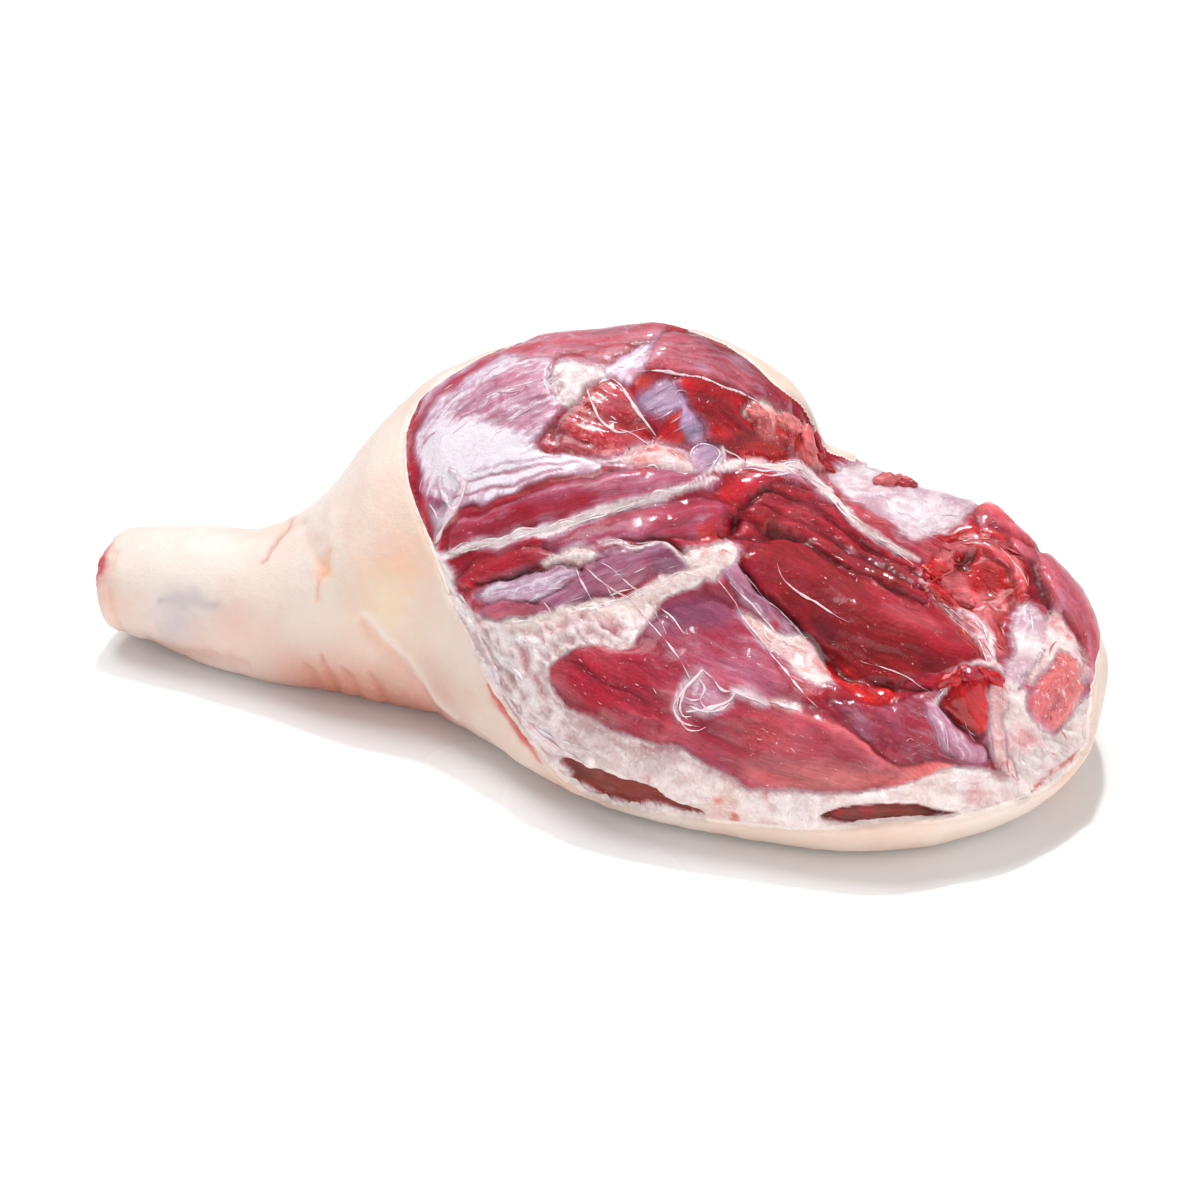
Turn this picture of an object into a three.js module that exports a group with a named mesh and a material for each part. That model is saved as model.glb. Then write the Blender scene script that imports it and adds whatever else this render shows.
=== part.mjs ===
// A raw leg of pork lying skin side down, with the trimmed meat face up and the shank cut off: one solid.
// Millimetres, +Z up. X runs along the leg, from the cut shank at -X to the round butt at +X.
// The near side, at -Y, is the low edge of the meat face, and the far side, at +Y, is the high one.
import * as THREE from "three";

// Cross-sections from the shank's cut to the butt. near and far are the Y of the two edges, low and high
// the heights of those edges, crest the Y of the topmost line, top its height, and keel the height of the
// underside before the table presses it flat.
const SECTIONS = [
  { x: -262, near: -38, far: 8, crest: -15, top: 54, low: 33, high: 33, keel: 10 },
  { x: -240, near: -42, far: 11, crest: -15, top: 58, low: 33, high: 34, keel: 7 },
  { x: -213, near: -46, far: 13, crest: -17, top: 62, low: 32, high: 34, keel: -2 },
  { x: -175, near: -53, far: 17, crest: -18, top: 68, low: 32, high: 40, keel: -6 },
  { x: -145, near: -60, far: 33, crest: -2, top: 85, low: 31, high: 53, keel: -9 },
  { x: -112, near: -65, far: 66, crest: 28, top: 131, low: 30, high: 68, keel: -12 },
  { x: -70, near: -69, far: 96, crest: 48, top: 147, low: 29, high: 74, keel: -14 },
  { x: -40, near: -83, far: 110, crest: 56, top: 158, low: 27, high: 76, keel: -15 },
  { x: 0, near: -108, far: 120, crest: 60, top: 161, low: 23, high: 76, keel: -16 },
  { x: 50, near: -126, far: 122, crest: 58, top: 147, low: 20, high: 72, keel: -18 },
  { x: 110, near: -132, far: 117, crest: 50, top: 119, low: 18, high: 64, keel: -17 },
  { x: 190, near: -133, far: 104, crest: 40, top: 99, low: 19, high: 54, keel: -15 },
  { x: 270, near: -122, far: 88, crest: 26, top: 82, low: 24, high: 44, keel: -12 },
];
// The butt rounds off from start to its end point, and its relief calms down close to that end.
const BUTT = { start: 115, x: 264, y: -18, z: 42, roundness: 2.6, calm: 8 };

// Fullness 2 makes an elliptic quarter of a section, more makes it squarer.
const FULLNESS = { meat: 1.95, skin: 2.3 };

// The skin and its fat: how far they stand proud of the meat, and the width of their bevelled edge.
const SKIN = { rise: 5, bevel: 16 };
// The collar where the skin ends crosses the top of the leg at top and runs down both sides. A section's
// angle is 0 at the far edge, 90 on top and 180 at the near edge.
const COLLAR = { top: -107, near: 30, nearAngle: 178, far: 20, farAngle: 48, butt: 225, buttAngle: 8 };
const TOP_ANGLE = 90;

// Muscles of the meat face, each a spindle between two points of the plain body, with its half width
// and how far its belly rises.
const MUSCLES = [
  { name: "thigh front", from: [-66, 30, 150], to: [10, 54, 160], width: 56, rise: 14 },
  { name: "hump", from: [24, 60, 154], to: [69, 66, 140], width: 44, rise: 24 },
  { name: "silver thigh", from: [-76, -10, 128], to: [0, 2, 152], width: 40, rise: 10 },
  { name: "hump face", from: [42, 22, 150], to: [82, 38, 138], width: 24, rise: 11 },
  { name: "hip knob", from: [84, 50, 134], to: [98, 43, 126], width: 22, rise: 13 },
  { name: "upper strap", from: [-58, -52, 106], to: [62, -18, 140], width: 22, rise: 8 },
  { name: "lower strap", from: [-34, -79, 84], to: [75, -55, 121], width: 26, rise: 8 },
  { name: "inner round", from: [18, -106, 58], to: [168, -124, 46], width: 46, rise: 11 },
  { name: "dark belly", from: [100, -54, 116], to: [204, -70, 84], width: 28, rise: 13 },
  { name: "dark strands near", from: [88, -26, 128], to: [188, -34, 102], width: 19, rise: 10 },
  { name: "dark strands far", from: [94, 8, 126], to: [176, 6, 108], width: 20, rise: 9 },
  { name: "far sheet", from: [124, 40, 118], to: [186, 58, 102], width: 26, rise: 7 },
  { name: "butt top", from: [196, 50, 100], to: [234, 22, 80], width: 32, rise: 11 },
  { name: "butt end", from: [246, 18, 70], to: [254, -14, 60], width: 26, rise: 4 },
  { name: "tail lobe", from: [236, -58, 64], to: [250, -36, 60], width: 22, rise: 8 },
  { name: "loose lump", from: [208, -80, 74], to: [216, -76, 70], width: 20, rise: 11 },
  { name: "lower tail", from: [150, -108, 68], to: [224, -100, 56], width: 24, rise: 7 },
];
// Hollows of the meat face: the hip joint's socket, the notch behind the hip knob and the knot of seams.
const HOLLOWS = [
  { name: "hip socket", at: [206, -12, 98], width: 22, depth: 12 },
  { name: "notch", at: [120, 44, 121], width: 30, depth: 11 },
  { name: "knot", at: [86, -32, 126], width: 14, depth: 6 },
];
// How softly neighbouring muscles run into each other.
const SEAM_SOFTNESS = 5;

// The low edge of skin and fat under the meat face stands out as a lip, from the collar to the butt,
// where it runs out before the tip.
const LIP = { from: 10, full: 50, runOut: 45, angle: 176, spread: 9, rise: 6 };

// Rings of the shank's cut, from the skin's rim to the bone: how large, and how far they stand out.
const CUT_RINGS = [
  { scale: 0.94, out: 4 },
  { scale: 0.84, out: 3 },
  { scale: 0.66, out: 6 },
  { scale: 0.4, out: 8 },
  { scale: 0.2, out: 7 },
];
const CUT_CENTRE_OUT = 7;
// How far the butt's tip stands out from its last ring.
const TIP_OUT = 1;

// The underside flattens where it comes within this height of the table.
const TABLE_SOFTNESS = 6;

// Stations stand wide apart on the plain shank, closer on the meat and closest at the butt's tip.
const SHANK_STATIONS = 11;
const STATIONS = 68;
const COLLAR_MARGIN = 12;
const TIP_CROWDING = { amount: 0.12, power: 8 };
const MEAT_STEPS = 58;
const SKIN_STEPS = 24;
const AROUND = MEAT_STEPS + SKIN_STEPS;
// Small steps along X and round a section, in radians, for finding slopes.
const PROBE = { x: 0.5, angle: 0.01 };

const power = (value, exponent) => Math.sign(value) * Math.abs(value) ** exponent;
const clamp01 = (value) => Math.min(Math.max(value, 0), 1);
const smooth = (value) => clamp01(value) ** 2 * (3 - 2 * clamp01(value));
const mix = (a, b, share) => a + (b - a) * share;

// A smooth curve along X through one column of SECTIONS.
function along(x, key) {
  const last = SECTIONS.length - 1;
  const after = SECTIONS.findIndex((section) => section.x >= x);
  const i = Math.min(Math.max(after - 1, 0), last - 1);
  const slope = (j) => {
    const before = SECTIONS[Math.max(j - 1, 0)];
    const next = SECTIONS[Math.min(j + 1, last)];
    return (next[key] - before[key]) / (next.x - before.x);
  };
  const [a, b] = [SECTIONS[i], SECTIONS[i + 1]];
  const span = b.x - a.x;
  const t = clamp01((x - a.x) / span);
  return (
    (2 * t ** 3 - 3 * t ** 2 + 1) * a[key] +
    (t ** 3 - 2 * t ** 2 + t) * span * slope(i) +
    (3 * t ** 2 - 2 * t ** 3) * b[key] +
    (t ** 3 - t ** 2) * span * slope(i + 1)
  );
}

// A point of the plain leg, before its muscles and skin, at a station and an angle in radians.
function bodyPoint(x, angle) {
  const beyond = clamp01((x - BUTT.start) / (BUTT.x - BUTT.start));
  const shrink = (1 - beyond ** BUTT.roundness) ** (1 / BUTT.roundness);
  const size = (key, end) => mix(end, along(x, key), shrink);
  const [c, s] = [Math.cos(angle), Math.sin(angle)];
  const crest = size("crest", BUTT.y);
  const edge = size(c >= 0 ? "far" : "near", BUTT.y);
  const rim = size(c >= 0 ? "high" : "low", BUTT.z);
  const peak = size(s >= 0 ? "top" : "keel", BUTT.z);
  const exponent = 2 / (s >= 0 ? FULLNESS.meat : FULLNESS.skin);
  return new THREE.Vector3(
    x,
    crest + Math.abs(edge - crest) * power(c, exponent),
    rim + Math.abs(peak - rim) * power(s, exponent),
  );
}

// The plain leg's outward direction, from two small steps along its surface.
function bodyNormal(x, angle) {
  const ahead = bodyPoint(Math.min(x + PROBE.x, BUTT.x), angle).sub(bodyPoint(x - PROBE.x, angle));
  const turn = bodyPoint(x, angle + PROBE.angle).sub(bodyPoint(x, angle - PROBE.angle));
  return turn.cross(ahead).normalize();
}

// How much of a spindle's rise reaches a point: all of it on its axis, none past its width.
function spindle(point, from, to, width) {
  const line = new THREE.Line3(new THREE.Vector3(...from), new THREE.Vector3(...to));
  const nearest = line.closestPointToPoint(point, true, new THREE.Vector3());
  return Math.max(0, 1 - (nearest.distanceTo(point) / width) ** 2);
}

// The muscles' common surface: the highest wins, with a soft seam between neighbours.
function muscleRise(point) {
  const total = MUSCLES.reduce(
    (sum, m) => sum + Math.expm1((m.rise * spindle(point, m.from, m.to, m.width)) / SEAM_SOFTNESS),
    0,
  );
  const dips = HOLLOWS.reduce((sum, h) => sum + h.depth * spindle(point, h.at, h.at, h.width), 0);
  return SEAM_SOFTNESS * Math.log1p(total) - dips;
}

// The angles between which the meat shows at a station, far side first.
function meatSpan(x) {
  const nearShare = clamp01((x - COLLAR.top) / (COLLAR.near - COLLAR.top));
  const farShare = clamp01((x - COLLAR.top) / (COLLAR.far - COLLAR.top));
  const buttShare = smooth((x - COLLAR.far) / (COLLAR.butt - COLLAR.far));
  const far = mix(mix(TOP_ANGLE, COLLAR.farAngle, 1 - (1 - farShare) ** 2), COLLAR.buttAngle, buttShare);
  return { far, near: mix(TOP_ANGLE, COLLAR.nearAngle, 1 - (1 - nearShare) ** 2) };
}

// 1 on the skin and 0 on the meat, with a bevel between. perDegree is the surface's length in a degree.
function skinShare(x, angle, perDegree) {
  const degrees = THREE.MathUtils.radToDeg(angle);
  const { far, near } = meatSpan(x);
  const inside = Math.min(degrees - far, near - degrees) * perDegree;
  const collar = x - COLLAR.top;
  return 1 - smooth(Math.min(inside, collar) / SKIN.bevel + 0.5);
}

// The lip of skin along the low edge.
function lipRise(x, angle) {
  const off = (THREE.MathUtils.radToDeg(angle) - LIP.angle) / LIP.spread;
  const ends = smooth((x - LIP.from) / (LIP.full - LIP.from)) * smooth((BUTT.x - x) / LIP.runOut);
  return LIP.rise * Math.exp(-off * off) * ends;
}

// The table presses the underside flat.
function flatten(point) {
  const lift = Math.max(0, point.z + TABLE_SOFTNESS) ** 2 / (4 * TABLE_SOFTNESS);
  point.z = point.z > TABLE_SOFTNESS ? point.z : lift;
  return point;
}

// A point of the finished leg. All relief settles to the skin's level at the butt's tip.
function legPoint(x, angle) {
  const body = bodyPoint(x, angle);
  const arc = bodyPoint(x, angle + PROBE.angle).distanceTo(body);
  const perDegree = arc / THREE.MathUtils.radToDeg(PROBE.angle);
  const skin = skinShare(x, angle, perDegree);
  const relief = mix(muscleRise(body), SKIN.rise, skin) + lipRise(x, angle);
  const rise = mix(SKIN.rise, relief, smooth((BUTT.x - x) / BUTT.calm));
  return flatten(body.addScaledVector(bodyNormal(x, angle), rise));
}

// The angle of a step round a section: close steps over the meat, wide ones under the skin.
function angleOf(step) {
  const under = step - MEAT_STEPS;
  return step < MEAT_STEPS ? (Math.PI * step) / MEAT_STEPS : Math.PI * (1 + under / SKIN_STEPS);
}

// The X of a station, which may be between two numbers.
function stationOf(index) {
  const first = SECTIONS[0].x;
  const join = COLLAR.top - COLLAR_MARGIN;
  if (index <= SHANK_STATIONS) return mix(first, join, index / SHANK_STATIONS);
  const t = (index - SHANK_STATIONS) / (STATIONS - SHANK_STATIONS);
  const crowded = t + TIP_CROWDING.amount * (t - t ** TIP_CROWDING.power);
  return mix(join, BUTT.x, crowded);
}

// Two triangles of a quad, split along the diagonal that lies nearer to the true surface at its middle.
function splitQuad(points, [a, b, c, d], truth) {
  const miss = (i, j) => points[i].clone().add(points[j]).divideScalar(2).distanceTo(truth);
  return miss(a, c) <= miss(b, d) ? [a, b, c, a, c, d] : [a, b, d, b, c, d];
}

// The whole surface as rings of points: the cut from its centre outwards, then the stations to the butt.
function legGeometry() {
  const rings = [];
  const rim = Array.from({ length: AROUND }, (_, step) => legPoint(SECTIONS[0].x, angleOf(step)));
  const centre = rim.reduce((sum, p) => sum.add(p), new THREE.Vector3()).divideScalar(AROUND);
  for (const { scale, out } of [...CUT_RINGS].reverse()) {
    rings.push(rim.map((p) => p.clone().lerp(centre, 1 - scale).setX(centre.x - out)));
  }
  for (let i = 0; i < STATIONS; i += 1) {
    rings.push(Array.from({ length: AROUND }, (_, step) => legPoint(stationOf(i), angleOf(step))));
  }
  const points = rings.flat();
  const hub = points.push(centre.clone().setX(centre.x - CUT_CENTRE_OUT)) - 1;
  const lastRing = rings[rings.length - 1];
  const tip = lastRing.reduce((sum, p) => sum.add(p), new THREE.Vector3()).divideScalar(AROUND);
  tip.x = Math.max(...lastRing.map((p) => p.x)) + TIP_OUT;
  const end = points.push(tip) - 1;

  const at = (ring, step) => ring * AROUND + (step % AROUND);
  const faces = [];
  for (let step = 0; step < AROUND; step += 1) {
    faces.push(at(0, step + 1), at(0, step), hub);
    for (let ring = 0; ring < rings.length - 1; ring += 1) {
      const corners = [at(ring, step), at(ring, step + 1), at(ring + 1, step + 1), at(ring + 1, step)];
      const station = ring - CUT_RINGS.length;
      const truth = legPoint(stationOf(Math.max(station + 0.5, 0)), angleOf(step + 0.5));
      faces.push(...splitQuad(points, corners, truth));
    }
    faces.push(at(rings.length - 1, step), at(rings.length - 1, step + 1), end);
  }
  const geometry = new THREE.BufferGeometry().setFromPoints(points).setIndex(faces);
  geometry.computeBoundingBox();
  const middle = geometry.boundingBox.getCenter(new THREE.Vector3());
  geometry.translate(-middle.x, -middle.y, -geometry.boundingBox.min.z);
  geometry.computeVertexNormals();
  return geometry;
}

const rawMeat = new THREE.MeshStandardMaterial({ color: 0xa8434f, roughness: 0.35, metalness: 0 });
const porkLeg = new THREE.Mesh(legGeometry(), rawMeat);
porkLeg.name = "pork_leg";

const part = new THREE.Group();
part.add(porkLeg);

export default part;
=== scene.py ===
"""A raw leg of pork on a pale table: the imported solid's form, with muscle, fat, fascia and skin worked in.

Lengths are millimetres until a mesh is made. Places on the meat face are pixels of the 1200 x 1200
photograph, carried onto the solid through the photograph's camera.
"""
import math
from dataclasses import dataclass
from types import SimpleNamespace

import bpy
import numpy as np
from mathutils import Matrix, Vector
from mathutils.bvhtree import BVHTree
from mathutils.kdtree import KDTree


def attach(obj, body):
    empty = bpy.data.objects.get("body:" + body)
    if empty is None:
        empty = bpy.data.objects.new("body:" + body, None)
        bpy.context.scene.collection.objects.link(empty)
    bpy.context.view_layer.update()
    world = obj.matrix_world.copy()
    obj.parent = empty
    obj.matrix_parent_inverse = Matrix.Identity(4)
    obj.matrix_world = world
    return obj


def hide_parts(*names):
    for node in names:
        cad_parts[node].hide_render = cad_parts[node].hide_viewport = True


MM = 0.001
PHOTO_SIZE = 1200

# The photograph's camera: where it looks, from how far, how much it sees there, and its sight in metres.
LOOK_AT = np.array([8.0, 0.0, 55.0])
AZIMUTH = math.radians(16)
ELEVATION = math.radians(28)
DISTANCE = 1400.0
FIELD_WIDTH = 626.0
SENSOR = 36.0
SIGHT = 50.0
PIXELS_PER_MM = PHOTO_SIZE / FIELD_WIDTH

# The leg's inner line, from the shank's cut to the middle of the butt. Rays go out from it to the solid.
AXIS = np.array([
    (-256.0, -15.0, 33.0), (-215.0, -17.0, 33.0), (-175.0, -18.0, 36.0), (-112.0, 0.0, 50.0),
    (-40.0, 14.0, 62.0), (50.0, 2.0, 58.0), (150.0, -14.0, 34.0),
])
BUTT_REACH = 120.0

# The grid over the solid: rows along the leg and columns round it, close together on the meat.
SHANK_CAP_ROWS = 22
SHANK_ROWS = 62
MEAT_START = -118.0
MEAT_ROWS = 184
BUTT_CAP_ROWS = 118
SEAM_ANGLE = -90.0
FINE_FROM, FINE_TO = 32.0, 206.0
FINE_COLUMNS = 270
UNDER_COLUMNS = 66
FACET_BLUR = 2.2
# A row's step from column to column: on the shank, and up to shares of the way over the butt.
SHANK_STEP = 3
BUTT_STEPS = ((0.55, 1), (0.8, 2), (1.0, 4))
# The flat map of the surface, and the share of its width that the fine columns take.
MAP_NAME = "OFBake"
MAP_FINE_SHARE = 0.62

# How far a field of white tissue (pixels) and of skin (millimetres) fades to each side of its edge.
EDGE = 5.0
FILM_HALO = 14.0
SKIN_EDGE = 4.0
SKIN_STEP = 2.4

# How many pixels painted places wander, and what meat is like where nothing is laid on it.
WANDER = 3.8
PLAIN_MEAT = {"wet": 0.3, "marble": 0.15, "strands": 0.5}

# Patches: the clouds of the second tint, the pixels over which the dome rises, and the seam round it,
# darkened as painted shade.
OUTLINE_PIECES = 4
CLOUD_SIZE, CLOUD_RANGE = 20, (-0.5, 0.7)
HALO_FILM = 0.7
DOME_REACH = 11.0
FILLED = 0.7
SEAM = {"mean": 0.6, "swing": 1.1, "most": 1.4, "width": 2.6, "dark": 0.12}
GRAIN_APART = 200

# Lines, cords of fat and spots, mostly in shares of their own width or radius.
LINE = {"reach": 4, "end": 0.3, "tips": (0.03, 0.97), "uneven": 0.5}
CORD = {"half": 0.55, "cover": (2.2, 1.4), "halo": 1.5, "film": 0.9}
SPOT = {"reach": 3, "ragged": 0.5, "least": 0.3}

# The fat's folds, with the pixel columns between which it turns from smooth to crinkled, and what each end
# gets of relief, of white on the crests and of grey between them.
FAT_BORDER = (0.4, 0.6)
FAT_CALM, FAT_CRINKLED = 680.0, 540.0
FOLD = {"stretch": 2.2, "flat": 0.3, "sharp": 2.6, "height": 2.2, "floor": 0.8}
# White on the crests and grey between them are partly the fat's own tone, partly painted highlight and shade.
FOLD_PALE, FOLD_GREY = (0.3, 0.8), (0.35, 0.0)
FOLD_SHARES = ((0.5, 1.0), (0.5, 0.8), (0.3, 0.65))

# Relief and tone of the bare meat: strands and bundles along the grain, lumps, marbling and hollows.
# The tint is darker in the grooves between strands, lighter where bundles rise and darker where they sink:
# painted shade and light.
STRAND = {"stretch": 18, "sharp": 2.4, "power": 0.6, "middle": 0.6, "dark": 0.3}
BUNDLE = {"stretch": 5, "least": 0.5, "tone": 0.22, "tones": (0.6, 1.4)}
LUMP_HEIGHT, MARBLE_HEIGHT = 0.4, 1.1
# In hollows the tint is darker and the fat dusty, and on crests the tint is lighter: painted shade and light.
HOLLOW = {"width": 3.0, "tone": 0.15, "tones": (0.55, 1.15), "stain": 0.3, "most": 0.4}

# The skin: its edge, its mottling, the white of the shank, the shade low on the collar, relief and lip.
EDGE_LEAN = 78.0
EDGE_PIECES = 40
MOTTLE = {"share": 0.5, "range": (-0.6, 0.9)}
WHITE_SHANK = {"share": 0.45, "x": (-60, -150)}
LOW_SHADE = {"z": (58, 6), "ragged": 6, "x": (-20, -70), "shank": 0.15, "shank x": (-190, -120)}
SKIN_RELIEF = {"fine": 0.35, "broad": 0.8, "stretch": (1.0, 0.45, 0.45)}
LIP = {"half": 1.3, "far": 0.45, "fade": 14}
# Heights over the table between which relief comes in.
TABLE_FADE = (0.5, 4.0)

# The shank's cut: where it is, and the circles of meat and bone in it.
CUT = {"x": -260.0, "soft": 3.0, "lift": 7.0, "shades": (-0.4, 0.6), "relief": 1.2, "ragged": 2}
CUT_MEAT = (20.0, 14.0)
CUT_BONE = (8.0, 6.0)

# Strokes on the meat, and what threads, ribs of cords and scattered flecks have of their own.
STROKE_SIDES = 5
EDGE_STRIDE = 16
STROKE_STEP = 2.4
LEAST_STEPS = 4
STROKE_JUMP = 7.0
STROKE_LIFT = 0.2
STROKE = {"tips": (0.04, 0.96), "taper": 0.6, "mean": 0.9, "swing": 1.2, "range": (0.12, 2.0), "thin": 0.15}
STROKE_APART, STRIP_APART = 50, 300
THREAD = {"pieces": 10, "sway": 1.6, "lift": 0.3}
RIBS = 0.25
RIB = {"last start": 0.75, "length": (0.12, 0.4), "look": 2, "off": 0.45, "sway": 1.2}
RIB_WIDTH, RIB_LIFT = (0.9, 2.4), 0.2
FLECK = {"tries": 8, "look": 3, "bend": 0.5}

# Scraps: balls with torn sides, and how wet, marbled and stranded they are.
SCRAP_RINGS = 24
SCRAP_SIDES = 32
SCRAP = {"scale": 10, "apart": 100, "ragged": 0.5, "flat": 0.8, "tone": 0.3}
SCRAP_MEAT = {"wet": 0.8, "marble": 0.4, "strands": 0.8, "grain": (0.2, 1.0, 0.0)}

# Shading: bump strengths, bump depths in metres, gloss, and the Mix node's two inputs and output by kind.
MEAT_BUMP, COAT_BUMP, SCRAP_BUMP = 0.6, 0.1, 0.5
BUMP_DEPTH, SCRAP_DEPTH = 0.001, 0.0009
MEAT_SPECULAR = 0.12
SKIN_GLOSS = 0.05
MIX_SOCKETS = {"RGBA": (6, 7, 2), "FLOAT": (2, 3, 0)}

# The table, and the lights: where each comes from, its strength and how wide it is in degrees.
FLOOR_HALF = 8000.0
FLOOR_DROP = 0.4
ROOM_LIGHT = 0.3
LIGHTS = [
    ("key", (-0.35, 0.3, 1.0), 1.65, 34),
    ("front", (0.1, -0.95, 0.14), 1.6, 60),
    ("side", (0.9, -0.3, 0.5), 1.05, 60),
    ("glint", (-0.1, 0.45, 0.9), 1.5, 4),
]

# The colours, as hex codes.
PALETTE = {
    "red": "#a81c30",
    "deep red": "#940f20",
    "crimson": "#b00c18",
    "blood": "#c80408",
    "brown red": "#8a131d",
    "maroon": "#98263a",
    # dark: painted shade, laid in creases, holes and on the belly's lower side.
    "dark": "#64090f",
    "pink": "#b8454f",
    "dusty": "#bb5663",
    "rose": "#cf656b",
    "salmon": "#d8696a",
    "bright pink": "#e27e7c",
    "purple": "#84405c",
    "mauve": "#a64f69",
    "lilac": "#c69fb6",
    "blue grey": "#9f86a8",
    "silver": "#ebe3eb",
    "white": "#f4ecea",
    "cream": "#f4e3da",
    "fat": "#f5e6df",
    "fat grey": "#c0aaa8",
    "thread": "#ead6db",
    "slit": "#863226",
    "peach": "#eeb595",
    "orange": "#d83a22",
    "skin": "#e2cabb",
    "skin white": "#e8dfd9",
    "skin pink": "#e2b1a1",
    "skin grey": "#b6afb4",
    "skin yellow": "#ebd0a6",
    "skin shade": "#c07d69",
}


@dataclass
class Patch:
    """A muscle or a field of fat on the meat face, by its outline, with what its surface is like."""

    name: str
    tint: str
    outline: list
    grain: list
    second: str = ""
    dome: float = 1.6
    level: float = 0.0
    seam: float = 1.0
    soft: float = 3.0
    fat: float = 0.0
    film: float = 0.0
    wet: float = 0.4
    marble: float = 0.15
    strands: float = 0.2
    crisp: float = 1.0


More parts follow.
